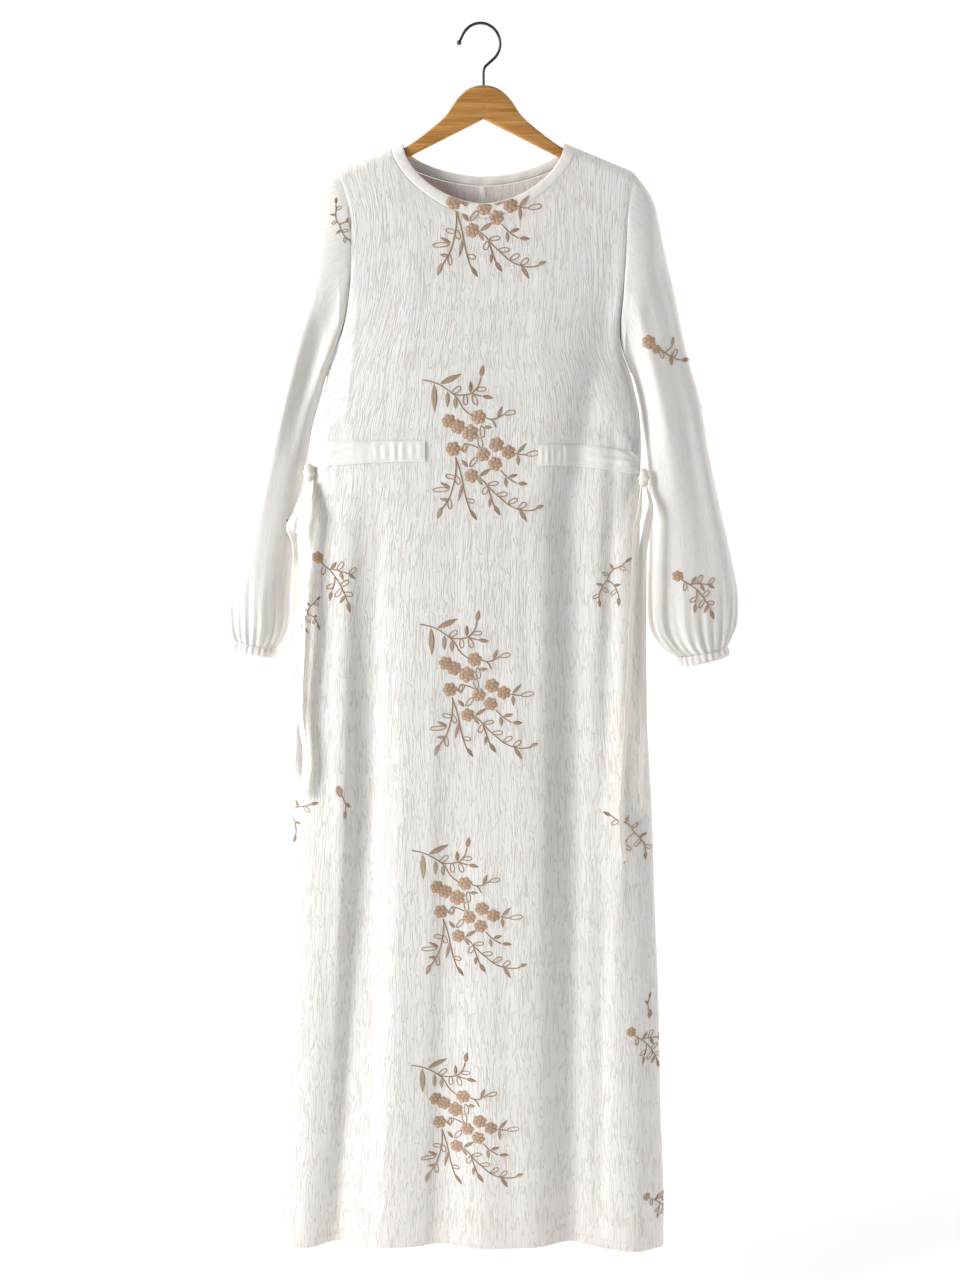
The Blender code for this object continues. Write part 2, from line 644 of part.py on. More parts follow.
def sleeve(name, table, creases, ring, lean, finish):
    """A sleeve, from the armhole ring down to the gathered end. It gives the end back."""
    count = len(ring)
    place, face = sleeve_place(count)
    half = count // 2
    first = plain_ring(ring[0], ring[half], ARMHOLE_DEPTH, place, face)
    waves = np.where(np.arange(count) % 2 == 0, 1.0, -1.0)
    base = [ring]
    gathers = [np.zeros(count)]
    for row, section in enumerate(table, start=1):
        centre_y = SLEEVE_CENTRE_Y * smoothstep(row / SLEEVE_SET_BACK_ROWS)
        outer = np.array([section.outer_x, centre_y, section.outer_z])
        inner = np.array([section.inner_x, centre_y, section.inner_z])
        points = plain_ring(outer, inner, section.depth, place, face)
        points += section.hold * (ring - first)
        points[:, 1] -= face * crease_depth(creases, row, place, face)
        base.append(points)
        gathers.append(waves * section.gather)
    base = np.array(base)
    around = np.roll(base, -1, axis=1) - np.roll(base, 1, axis=1)
    down = np.gradient(base, axis=0)
    normals = np.cross(around, down)
    normals /= np.linalg.norm(normals, axis=-1, keepdims=True)
    middle = base.mean(axis=1, keepdims=True)
    if ((base - middle) * normals).sum() < 0:
        normals = -normals
    normals[0] = lean
    outer = base + normals * np.array(gathers)[:, :, None]
    wall(name, outer, outer - normals * CLOTH, finish, closed=True)
    return base[-1], normals[-1]


def cuff(name, end, normals, finish):
    """The narrow gathered casing under a sleeve: outer points puckered, inside plain."""
    count = len(end)
    long_way = end[0] - end[count // 2]
    down = np.array([long_way[2], 0.0, -long_way[0]])
    down /= np.linalg.norm(down)
    down *= -np.sign(down[2])
    flat = normals - np.outer(normals @ down, down)
    flat /= np.linalg.norm(flat, axis=-1, keepdims=True)
    waves = np.where(np.arange(count) % 2 == 0, 1.0, -1.0)[:, None]
    outer = []
    inner = []
    for row in range(CUFF_ROWS + 1):
        along = row / CUFF_ROWS
        spot = end + down * (CUFF_DROP + CUFF_WIDTH * along)
        bulge = CUFF_BULGE * math.sin(math.pi * along)
        outer.append(spot + flat * (bulge + waves * CUFF_PUCKER))
        inner.append(spot - flat * BAND_CLOTH)
    wall(name, np.array(outer), np.array(inner), finish, closed=True)


def neckband(name, face, seam_points, seam_normals, edge, columns, puckers, finish):
    """A neckband: from the neck seam in to its free edge, on the same surface."""
    splits = [columns // NECK_COLUMNS] * NECK_COLUMNS
    start = split_line(seam_points, splits)
    lean = split_line(seam_normals, splits)
    edge_x, edge_z = neck_points(edge, columns)
    outer = []
    normals = []
    for row in range(NECKBAND_ROWS + 1):
        along = row / NECKBAND_ROWS
        x = start[:, 0] * (1 - along) + edge_x * along
        z = start[:, 2] * (1 - along) + edge_z * along
        points = body_points(x, z, face)
        normals.append(body_normals(x, z, face))
        outer.append(points)
    outer = np.array(outer)
    normals = np.array(normals)
    inward = outer[1] - start
    inward /= np.linalg.norm(inward, axis=-1, keepdims=True)
    outer[0] = start + inward * SEAM_CLEARANCE
    normals[0] = lean
    for end in (0, -1):
        normals[:, end] = normals[0, end]
        outer[:, end, 1] = outer[0, end, 1]
    inner = outer - normals * BAND_CLOTH
    if puckers:
        turn = np.linspace(0.0, 2 * math.pi * puckers, columns + 1)
        height = BACK_PUCKER_HEIGHT * (1 - np.cos(turn)) / 2
        outer[1] += normals[1] * height[:, None]
    wall(name, outer, inner, finish)


def waist_band(name, band, finish):
    """A strip stitched flat on the front, puckered towards its inner end."""
    along = np.linspace(0.0, 1.0, BAND_COLUMNS + 1)
    x = band.x_side + (band.x_inner - band.x_side) * along
    ease = (1 - along) ** 2
    top = band.top_inner + (band.top_side - band.top_inner) * ease
    low = band.low_inner + (band.low_side - band.low_inner) * ease
    share = np.linspace(0.0, 1.0, BAND_ROWS + 1)[:, None]
    grid_x = np.repeat(x[None], BAND_ROWS + 1, axis=0)
    grid_z = low * (1 - share) + top * share
    points = body_points(grid_x, grid_z, "front")
    normals = body_normals(grid_x, grid_z, "front")
    start = 1 - BAND_PUCKERED_SHARE
    puckered = np.clip((along - start) / BAND_PUCKERED_SHARE, 0.0, 1.0)
    height = BAND_PUCKER * (1 - np.cos(2 * math.pi * band.puckers * puckered)) / 2
    inner = points + normals * LAID_GAP
    outer = inner + normals * STRIP_CLOTH
    outer[1] += normals[1] * height[:, None]
    wall(name, outer, inner, finish)


def smooth_path(values, count):
    """Even steps on a smooth curve through a list of points, one row each."""
    values = np.array(values, dtype=float)
    at = np.linspace(0, len(values) - 1, count)
    i = np.clip(at.astype(int), 0, len(values) - 2)
    t = (at - i)[:, None]
    padded = np.concatenate([2 * values[:1] - values[1:2], values, 2 * values[-1:] - values[-2:-1]])
    a, b, c, d = padded[i], padded[i + 1], padded[i + 2], padded[i + 3]
    return 0.5 * (
        2 * b + (c - a) * t + (2 * a - 5 * b + 4 * c - d) * t**2 + (3 * b - a - 3 * c + d) * t**3
    )


def tie(name, route, finish):
    """A flat strip of cloth that follows its route, its width turned as the table says."""
    path = smooth_path(route, TIE_SECTIONS)
    centre = path[:, :3]
    turn = np.radians(path[:, 3])
    along = np.gradient(centre, axis=0)
    along /= np.linalg.norm(along, axis=-1, keepdims=True)
    wide = np.stack([np.cos(turn), -np.sin(turn), np.zeros_like(turn)], axis=-1)
    wide -= along * (wide * along).sum(axis=-1, keepdims=True)
    wide /= np.linalg.norm(wide, axis=-1, keepdims=True)
    thick = np.cross(along, wide)
    half_wide = wide * TIE_WIDTH / 2
    half_thick = thick * STRIP_CLOTH / 2
    corners = [
        centre - half_wide - half_thick,
        centre + half_wide - half_thick,
        centre + half_wide + half_thick,
        centre - half_wide + half_thick,
    ]
    tube(name, np.stack(corners, axis=1), finish)


def knot(name, place, finish):
    """A small oval lump with two grooves round it where the strip wraps."""
    turn = np.linspace(0.0, 2 * math.pi, KNOT_SIDES, endpoint=False)
    rows = []
    for row in range(KNOT_ROWS):
        turned = (row + KNOT_END_ROWS) / (KNOT_ROWS - 1 + 2 * KNOT_END_ROWS)
        up = -math.cos(math.pi * turned)
        width = math.sqrt(1 - up * up)
        groove = KNOT_GROOVE * (1 - math.cos(KNOT_GROOVES * math.pi * up)) / 2
        rows.append(
            np.stack(
                [
                    place.x + np.cos(turn) * (KNOT_HALF[0] * width - groove * width),
                    place.y + np.sin(turn) * (KNOT_HALF[1] * width - groove * width),
                    np.full_like(turn, place.z + KNOT_HALF[2] * up),
                ],
                axis=-1,
            )
        )
    tube(name, np.array(rows), finish)


def wood_section(x):
    """One upright section of the hanger: a rectangle with round corners."""
    top = float(smooth_table(WOOD_EDGES, "x", "top", abs(x)))
    low = float(np.interp(abs(x), [e.x for e in WOOD_EDGES], [e.low for e in WOOD_EDGES]))
    thin = smoothstep((abs(x) - WOOD_THINS_FROM_X) / (WOOD_HALF_LENGTH - WOOD_THINS_FROM_X))
    half = WOOD_HALF_THICK + (WOOD_TIP_HALF_THICK - WOOD_HALF_THICK) * thin
    radius = min(WOOD_EDGE_ROUND, (top - low) * WOOD_MOST_ROUND_SHARE)
    points = []
    for corner, (way_y, way_z) in enumerate(((1, 1), (-1, 1), (-1, -1), (1, -1))):
        for step in range(WOOD_CORNER_POINTS):
            angle = math.radians(90 * corner + 90 * step / (WOOD_CORNER_POINTS - 1))
            y = way_y * (half - radius) + radius * math.cos(angle)
            edge_z = top - radius if way_z > 0 else low + radius
            points.append((x, y, edge_z + radius * math.sin(angle)))
    return points


def hanger_wood(finish):
    """The wooden body of the hanger, with a bore for the hook's stem."""
    turn = np.linspace(-WOOD_LAST_TURN, WOOD_LAST_TURN, WOOD_SECTIONS + 1)
    places = WOOD_HALF_LENGTH * np.sin(turn) / math.sin(WOOD_LAST_TURN)
    sections = np.array([wood_section(x) for x in places])
    body = tube("hanger_wood", sections, finish)
    top = WOOD_EDGES[0].top
    mesh = bpy.data.meshes.new("stem_bore")
    work = bmesh.new()
    bmesh.ops.create_cone(
        work,
        cap_ends=True,
        segments=WIRE_SIDES * 2,
        radius1=STEM_BORE_RADIUS,
        radius2=STEM_BORE_RADIUS,
        depth=2 * STEM_BORE_DEPTH,
    )
    work.to_mesh(mesh)
    work.free()
    cutter = bpy.data.objects.new("stem_bore", mesh)
    bpy.context.scene.collection.objects.link(cutter)
    cutter.location = (0.0, 0.0, top)
    cutter.hide_render = True
    cutter.display_type = "WIRE"
    cut = body.modifiers.new("stem_bore", "BOOLEAN")
    cut.object = cutter
    cut.operation = "DIFFERENCE"
    cut.solver = "EXACT"


def hanger_hook(finish):
    """The bent wire hook, with a small ball on its tip and its stem in the wood."""
    angles = np.radians(np.linspace(HOOK_ARC_FROM, HOOK_ARC_TO, HOOK_ARC_STEPS + 1))
    arc = [
        (HOOK_CENTRE_X + HOOK_RADIUS * math.cos(a), HOOK_CENTRE_Z + HOOK_RADIUS * math.sin(a))
        for a in angles
    ]
    stem_low = WOOD_EDGES[0].top - STEM_SEAT
    line = np.array([HOOK_TIP, *arc, *HOOK_RETURN, (0.0, stem_low)])
    start = line[0] - line[1]
    start /= np.linalg.norm(start)
    ball_turns = np.radians(HOOK_BALL_TURNS)
    ball = [line[0] - start * HOOK_BALL_RADIUS * math.cos(a) for a in ball_turns]
    ball_radii = [HOOK_BALL_RADIUS * math.sin(a) for a in ball_turns]
    route = np.concatenate([np.array(ball), line[1:]])
    radii = np.array(ball_radii + [WIRE_RADIUS] * (len(line) - 1))
    along = np.gradient(route, axis=0)
    along /= np.linalg.norm(along, axis=-1, keepdims=True)
    side = np.stack([-along[:, 1], along[:, 0]], axis=-1)
    turn = np.linspace(0.0, 2 * math.pi, WIRE_SIDES, endpoint=False)
    sections = np.empty((len(route), WIRE_SIDES, 3))
    sections[..., 0] = route[:, None, 0] + np.outer(radii, np.cos(turn)) * side[:, None, 0]
    sections[..., 1] = np.outer(radii, np.sin(turn))
    sections[..., 2] = route[:, None, 1] + np.outer(radii, np.cos(turn)) * side[:, None, 1]
    tube("hanger_hook", sections, finish)


def build():
    """Make every piece."""
    clear_scene()
    crepe = material("ivory_crepe", IVORY_CREPE)
    band_cloth = material("ivory_band", IVORY_BAND)
    tie_cloth = material("ivory_tie", IVORY_TIE)
    wood = material("honey_wood", HONEY_WOOD)
    steel = material("dark_steel", DARK_STEEL)

    front = front_panel(crepe)
    back = back_panels(crepe)

    for side, table, creases, column, way in (
        ("left", LEFT_SLEEVE, LEFT_CREASES, 0, -1.0),
        ("right", RIGHT_SLEEVE, RIGHT_CREASES, -1, 1.0),
    ):
        ring, lean = armhole_ring(front, back, column, way)
        end, normals = sleeve(f"sleeve_{side}", table, creases, ring, lean, crepe)
        cuff(f"cuff_{side}", end, normals, band_cloth)

    neck = slice(SHOULDER_COLUMNS, SHOULDER_COLUMNS + NECK_COLUMNS + 1)
    neckband(
        "neckband_front", "front", front[0][-1, neck], front[1][-1, neck],
        FRONT_EDGE, NECK_COLUMNS, 0, band_cloth,
    )
    neckband(
        "neckband_back", "back", back[0][-1, neck], back[1][-1, neck],
        BACK_EDGE, NECK_COLUMNS * 2, BACK_BAND_PUCKERS, band_cloth,
    )

    waist_band("waist_band_left", LEFT_BAND, band_cloth)
    waist_band("waist_band_right", RIGHT_BAND, band_cloth)

    knot("tie_knot_left", LEFT_KNOT, tie_cloth)
    knot("tie_knot_right", RIGHT_KNOT, tie_cloth)
    tie("tie_left_outer", LEFT_TIE_OUTER, tie_cloth)
    tie("tie_left_inner", LEFT_TIE_INNER, tie_cloth)
    tie("tie_right_inner", RIGHT_TIE_INNER, tie_cloth)
    tie("tie_right_outer", RIGHT_TIE_OUTER, tie_cloth)

    hanger_wood(wood)
    hanger_hook(steel)


build()
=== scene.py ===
"""An ivory crinkle-crepe dress with taupe embroidery, hanging on a wooden hanger.

Lengths are metres, +Z up. The front faces -Y; left and right are as seen from the front.
Every cloth piece is a thin wall laid on the form of its CAD solid: the same depth formula,
read on a finer grid, with the crinkle, creases and seam dips added along its outward
direction. The embroidery is charted in millimetres and laid on that same surface.
"""

from __future__ import annotations

import logging
import math
from dataclasses import dataclass, field
from enum import Enum

import bpy
import numpy as np
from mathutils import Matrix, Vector


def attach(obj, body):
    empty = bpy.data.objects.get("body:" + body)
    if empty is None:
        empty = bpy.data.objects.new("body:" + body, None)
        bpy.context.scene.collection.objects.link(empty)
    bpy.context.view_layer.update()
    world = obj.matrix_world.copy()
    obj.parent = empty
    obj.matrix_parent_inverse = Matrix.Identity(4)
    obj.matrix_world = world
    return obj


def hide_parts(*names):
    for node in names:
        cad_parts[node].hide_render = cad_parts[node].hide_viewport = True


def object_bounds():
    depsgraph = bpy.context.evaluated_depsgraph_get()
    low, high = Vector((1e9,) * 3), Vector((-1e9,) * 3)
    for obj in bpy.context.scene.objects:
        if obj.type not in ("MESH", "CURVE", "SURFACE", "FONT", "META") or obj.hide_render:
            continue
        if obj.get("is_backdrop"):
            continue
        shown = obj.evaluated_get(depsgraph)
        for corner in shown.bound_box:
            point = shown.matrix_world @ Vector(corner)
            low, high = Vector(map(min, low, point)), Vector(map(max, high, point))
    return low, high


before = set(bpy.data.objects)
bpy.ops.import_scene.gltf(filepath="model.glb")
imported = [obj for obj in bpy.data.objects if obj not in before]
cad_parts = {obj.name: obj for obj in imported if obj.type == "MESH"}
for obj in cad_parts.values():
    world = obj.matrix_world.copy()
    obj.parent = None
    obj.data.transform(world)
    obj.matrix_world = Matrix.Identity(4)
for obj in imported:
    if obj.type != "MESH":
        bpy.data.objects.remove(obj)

logging.basicConfig(level=logging.INFO, format="%(message)s")
log = logging.getLogger("dress")

MM = 0.001

UNDERARM_Z = -0.400
HEM_Z = -1.560
HEM_SIDE_DROP = 0.012
SEAM_GAP = 0.0003
SIDE_SLOPE_STEP = 0.0015

# z, left edge, right edge, then how far front, back and sleeve edge stand from the seams
OUTLINE = np.array([
    (-0.100, -0.1750, 0.1780, 0.010, 0.010, 0.010),
    (-0.166, -0.1750, 0.1780, 0.012, 0.011, 0.011),
    (-0.188, -0.1665, 0.1745, 0.014, 0.012, 0.013),
    (-0.212, -0.1595, 0.1717, 0.016, 0.014, 0.015),
    (-0.262, -0.1580, 0.1695, 0.019, 0.017, 0.018),
    (-0.307, -0.1610, 0.1675, 0.021, 0.019, 0.017),
    (-0.346, -0.1685, 0.1650, 0.023, 0.020, 0.012),
    (-0.376, -0.1790, 0.1680, 0.024, 0.021, 0.006),
    (-0.400, -0.1885, 0.1775, 0.025, 0.022, 0.000),
    (-0.427, -0.1950, 0.1855, 0.025, 0.022, 0.000),
    (-0.455, -0.2040, 0.1915, 0.025, 0.022, 0.000),
    (-0.487, -0.2110, 0.1940, 0.024, 0.021, 0.000),
    (-0.519, -0.2105, 0.1940, 0.024, 0.021, 0.000),
    (-0.622, -0.2245, 0.1950, 0.026, 0.022, 0.000),
    (-0.685, -0.2310, 0.1975, 0.027, 0.023, 0.000),
    (-0.814, -0.2420, 0.2060, 0.027, 0.023, 0.000),
    (-0.946, -0.2450, 0.2160, 0.028, 0.024, 0.000),
    (-1.081, -0.2530, 0.2230, 0.028, 0.024, 0.000),
    (-1.220, -0.2610, 0.2310, 0.029, 0.025, 0.000),
    (-1.362, -0.2700, 0.2365, 0.030, 0.026, 0.000),
    (-1.507, -0.2800, 0.2440, 0.031, 0.027, 0.000),
    (-1.580, -0.2830, 0.2450, 0.031, 0.027, 0.000),
])
LEFT, RIGHT, FRONT_DEPTH, BACK_DEPTH, EDGE_DEPTH = range(1, 6)


class Face(Enum):
    """Which side of the dress a surface is on, with its direction along Y."""

    FRONT = -1.0
    BACK = 1.0


class Side(Enum):
    """Left or right as seen from the front, with its direction along X."""

    LEFT = -1.0
    RIGHT = 1.0


def smoothstep(t: np.ndarray | float) -> np.ndarray:
    """Ease a share from 0 to 1: three t squared less two t cubed.

    Args:
        t: The share, clipped to 0 to 1.

    Returns:
        The eased share.
    """
    t = np.clip(t, 0.0, 1.0)
    return t * t * (3.0 - 2.0 * t)


def cubic_through(keys: np.ndarray, values: np.ndarray, at: np.ndarray) -> np.ndarray:
    """Read a cubic through table rows, its slopes taken from the neighbouring rows.

    Args:
        keys: The places of the rows, rising or falling.
        values: One value, or one array, for each row.
        at: Where to read.

    Returns:
        The value at each place.
    """
    if keys[0] > keys[-1]:
        keys = keys[::-1]
        values = values[::-1]
    slopes = np.gradient(values, keys, axis=0)
    at = np.clip(np.asarray(at, dtype=float), keys[0], keys[-1])
    i = np.clip(np.searchsorted(keys, at) - 1, 0, len(keys) - 2)
    extra = (1,) * (values.ndim - 1)
    step = (keys[i + 1] - keys[i]).reshape(at.shape + extra)
    t = (at - keys[i]).reshape(at.shape + extra) / step
    rise = 2 * t**3 - 3 * t**2 + 1
    return (
        rise * values[i]
        + (t**3 - 2 * t**2 + t) * step * slopes[i]
        + (1 - rise) * values[i + 1]
        + (t**3 - t**2) * step * slopes[i + 1]
    )


def cell_value(column: np.ndarray, row: np.ndarray, seed: float) -> np.ndarray:
    """A fixed value from -1 to 1 for each lattice point, from the digits of a sine.

    Args:
        column: Whole numbers across.
        row: Whole numbers along.
        seed: Changes the pattern.

    Returns:
        One value for each point.
    """
    raw = np.sin(column * 12.9898 + row * 78.233 + seed * 37.719) * 43758.5453
    return 2.0 * (raw - np.floor(raw)) - 1.0


def soft_noise(across: np.ndarray, along: np.ndarray, seed: float) -> np.ndarray:
    """Smooth noise of one lattice step: four corner values blended with smoothsteps.

    Args:
        across: Place across, in lattice steps.
        along: Place along, in lattice steps.
        seed: Changes the pattern.

    Returns:
        Values from -1 to 1.
    """
    column = np.floor(across)
    row = np.floor(along)
    s = smoothstep(across - column)
    t = smoothstep(along - row)
    low = cell_value(column, row, seed) * (1 - s) + cell_value(column + 1, row, seed) * s
    high = cell_value(column, row + 1, seed) * (1 - s)
    high = high + cell_value(column + 1, row + 1, seed) * s
    return low * (1 - t) + high * t


@dataclass(frozen=True)
class Fold:
    """A long soft valley, or a ridge where its shares are below zero.

    The share of the depth it takes is its strength at that height times
    exp(-(distance from its line / width) squared).
    """

    z_top: float
    x_top: float
    z_mid: float
    x_mid: float
    x_hem: float
    share_mid: float
    share_hem: float
    width: float

    def share(self, x: np.ndarray, z: np.ndarray) -> np.ndarray:
        """Read the fold.

        Args:
            x: Places across.
            z: Heights.

        Returns:
            The share of the depth it takes at each place.
        """
        path = [HEM_Z, self.z_mid, self.z_top]
        centre = np.interp(z, path, [self.x_hem, self.x_mid, self.x_top])
        strength = np.interp(z, path, [self.share_hem, self.share_mid, 0.0])
        return strength * np.exp(-(((x - centre) / self.width) ** 2))


@dataclass(frozen=True)
class Crease:
    """A narrow ridge or trough laid over the folds, along a short path of its own.

    Its height is (height x sin(pi x share of its length) to the power 0.7)
    times exp(-(distance from its path / width) squared).
    """

    z_top: float
    x_top: float
    z_low: float
    x_low: float
    bow: float
    height: float
    width: float

    def relief(self, x: np.ndarray, z: np.ndarray) -> np.ndarray:
        """Read the crease.

        Args:
            x: Places across.
            z: Heights.

        Returns:
            How far it lifts the cloth, in metres.
        """
        along = np.clip((self.z_top - z) / (self.z_top - self.z_low), 0.0, 1.0)
        swell = np.sin(math.pi * along)
        centre = self.x_top + (self.x_low - self.x_top) * along + self.bow * swell
        shape = np.exp(-(((x - centre) / self.width) ** 2))
        return self.height * np.clip(swell, 0.0, 1.0) ** 0.7 * shape


@dataclass(frozen=True)
class Pull:
    """Fine drag lines that fan out from a point where the cloth is held.

    In polar coordinates about that point: height x wave(angle) x exp(-distance / reach).
    """

    x: float
    z: float
    rays: float
    reach: float
    height: float
    seed: float

    def relief(self, x: np.ndarray, z: np.ndarray) -> np.ndarray:
        """Read the drag lines.

        Args:
            x: Places across.
            z: Heights.

        Returns:
            How far they lift the cloth, in metres.
        """
        far = np.hypot(x - self.x, z - self.z)
        angle = np.arctan2(z - self.z, x - self.x)
        wave = soft_noise(angle * self.rays, far / 0.05, self.seed)
        return self.height * wave * np.exp(-far / self.reach) * smoothstep(far / 0.02)


FRONT_FOLDS = (
    Fold(-0.510, -0.138, -0.950, -0.156, -0.198, 0.50, 0.78, 0.027),
    Fold(-0.230, 0.168, -0.560, 0.112, 0.119, 0.48, 0.66, 0.031),
    Fold(-0.720, -0.036, -1.150, -0.050, -0.058, 0.16, 0.36, 0.030),
    Fold(-0.700, 0.188, -1.150, 0.202, 0.206, -0.12, -0.34, 0.024),
    Fold(-0.800, 0.008, -1.200, 0.008, 0.008, -0.05, -0.12, 0.030),
)
BACK_FOLDS = (
    Fold(-0.300, -0.120, -0.700, -0.112, -0.128, 0.42, 0.62, 0.032),
    Fold(-0.480, 0.128, -0.900, 0.136, 0.164, 0.48, 0.70, 0.028),
    Fold(-0.700, 0.046, -1.150, 0.052, 0.060, 0.18, 0.38, 0.032),
    Fold(-0.760, -0.040, -1.150, -0.046, -0.050, -0.06, -0.16, 0.030),
    Fold(-0.700, -0.196, -1.150, -0.210, -0.220, -0.10, -0.28, 0.026),
)
FRONT_CREASES = (
    Crease(-0.440, 0.160, -0.980, 0.150, 0.002, -0.0060, 0.0120),
    Crease(-0.900, 0.150, -1.680, 0.154, 0.002, -0.0060, 0.0130),
    Crease(-0.420, 0.078, -1.700, 0.074, -0.003, 0.0035, 0.0200),
    Crease(-0.560, -0.126, -1.700, -0.164, 0.003, -0.0070, 0.0190),
    Crease(-0.540, -0.160, -1.700, -0.214, 0.002, 0.0060, 0.0120),
    Crease(-0.300, 0.150, -0.620, 0.090, 0.006, -0.0016, 0.0120),
    Crease(-0.540, -0.118, -1.250, -0.146, 0.004, 0.0022, 0.0090),
    Crease(-0.560, -0.168, -1.020, -0.186, -0.003, 0.0024, 0.0110),
    Crease(-1.020, -0.170, -1.700, -0.214, 0.000, -0.0022, 0.0100),
    Crease(-0.700, -0.062, -1.660, -0.084, 0.003, 0.0017, 0.0120),
    Crease(-0.740, 0.040, -1.680, 0.058, -0.002, 0.0018, 0.0130),
    Crease(-0.560, 0.166, -1.200, 0.180, 0.002, 0.0020, 0.0080),
    Crease(-0.190, -0.080, -0.460, -0.104, 0.004, 0.0008, 0.0120),
    Crease(-0.230, 0.060, -0.470, 0.074, 0.002, 0.0007, 0.0140),
    Crease(-0.560, -0.040, -0.820, -0.034, 0.002, -0.0009, 0.0090),
    Crease(-0.580, 0.052, -0.900, 0.060, 0.001, -0.0009, 0.0110),
    Crease(-0.290, -0.150, -0.470, -0.170, 0.002, 0.0012, 0.0060),
)
BACK_CREASES = (
    Crease(-0.220, -0.136, -0.900, -0.092, 0.004, 0.0026, 0.0100),
    Crease(-0.520, 0.100, -1.300, 0.120, 0.003, 0.0024, 0.0100),
    Crease(-0.260, 0.110, -0.620, 0.086, -0.004, -0.0014, 0.0120),
    Crease(-0.820, 0.176, -1.660, 0.200, 0.002, 0.0024, 0.0110),
    Crease(-0.860, -0.150, -1.680, -0.176, -0.002, 0.0022, 0.0110),
    Crease(-0.640, -0.010, -1.200, 0.018, 0.003, 0.0012, 0.0120),
    Crease(-1.040, 0.006, -1.700, -0.008, 0.002, 0.0016, 0.0130),
)
FRONT_PULLS = (
    Pull(-0.2130, -0.5030, 9.0, 0.085, 0.0020, 3.0),
    Pull(0.1950, -0.5130, 9.0, 0.075, 0.0018, 7.0),
    Pull(-0.1880, -0.3900, 7.0, 0.050, 0.0010, 11.0),
    Pull(0.1770, -0.3900, 7.0, 0.050, 0.0010, 13.0),
)
BACK_PULLS = (
    Pull(-0.2130, -0.5030, 8.0, 0.070, 0.0016, 5.0),
    Pull(0.1950, -0.5130, 8.0, 0.070, 0.0016, 9.0),
    Pull(-0.1880, -0.3900, 7.0, 0.050, 0.0010, 17.0),
    Pull(0.1770, -0.3900, 7.0, 0.050, 0.0010, 19.0),
)


@dataclass(frozen=True)
class Crinkle:
    """The crepe's own uneven lengthwise crinkle.

    A sum of soft noises, each stretched along the cloth: height x noise(across / width,
    along / length), the narrow ones bent a little by the wide ones.
    """

    # width, length and height of each layer, in metres
    layers: tuple[tuple[float, float, float], ...] = (
        (0.0190, 0.220, 0.00016),
        (0.0085, 0.100, 0.00010),
        (0.0050, 0.060, 0.00014),
    )
    sway: float = 0.0022

    def relief(self, across: np.ndarray, along: np.ndarray, seed: float) -> np.ndarray:
        """Read the crinkle.

        Args:
            across: Place across the cloth, in metres.
            along: Place along the cloth, in metres.
            seed: Changes the pattern from piece to piece.

        Returns:
            Height over the plain cloth, in metres.
        """
        bent = across + self.sway * soft_noise(across / 0.030, along / 0.070, seed + 0.5)
        total = np.zeros_like(bent)
        for number, (width, length, height) in enumerate(self.layers):
            total = total + height * soft_noise(bent / width, along / length, seed + number)
        return total


@dataclass(frozen=True)
class NeckCurve:
    """Half of a superellipse below a level line: a neckline or the edge of its band."""

    half: float
    corner_z: float
    drop: float
    power: float

    def points(self, columns: int) -> tuple[np.ndarray, np.ndarray]:
        """Walk the curve from its left corner to its right one.

        Args:
            columns: Number of steps.

        Returns:
            x and z of each point.
        """
        turn = np.linspace(0.0, math.pi, columns + 1)
        power = 2.0 / self.power
        x = -np.sign(np.cos(turn)) * np.abs(np.cos(turn)) ** power * self.half
        z = self.corner_z - np.abs(np.sin(turn)) ** power * self.drop
        return x, z

    def level(self, x: np.ndarray, z: np.ndarray) -> np.ndarray:
        """How far out a point is: 1 on the curve, less inside the neck, more outside.

        Args:
            x: Places across.
            z: Heights.

        Returns:
            The root of the sum of both shares, each raised to the curve's power.
        """
        wide = np.abs(x / self.half) ** self.power
        deep = np.clip((self.corner_z - z) / self.drop, 0.0, None) ** self.power
        return (wide + deep) ** (1.0 / self.power)

    def moved(self, outward: float) -> NeckCurve:
        """The same curve further out all round.

        Args:
            outward: Distance in metres.

        Returns:
            The wider curve.
        """
        return NeckCurve(self.half + outward, self.corner_z, self.drop + outward, self.power)


FRONT_SEAM = NeckCurve(0.1096, -0.139, 0.082, 1.58)
FRONT_EDGE = NeckCurve(0.0955, -0.1334, 0.070, 1.75)
BACK_SEAM = NeckCurve(0.1096, -0.139, 0.044, 1.75)
BACK_EDGE = NeckCurve(0.0955, -0.1334, 0.038, 1.75)


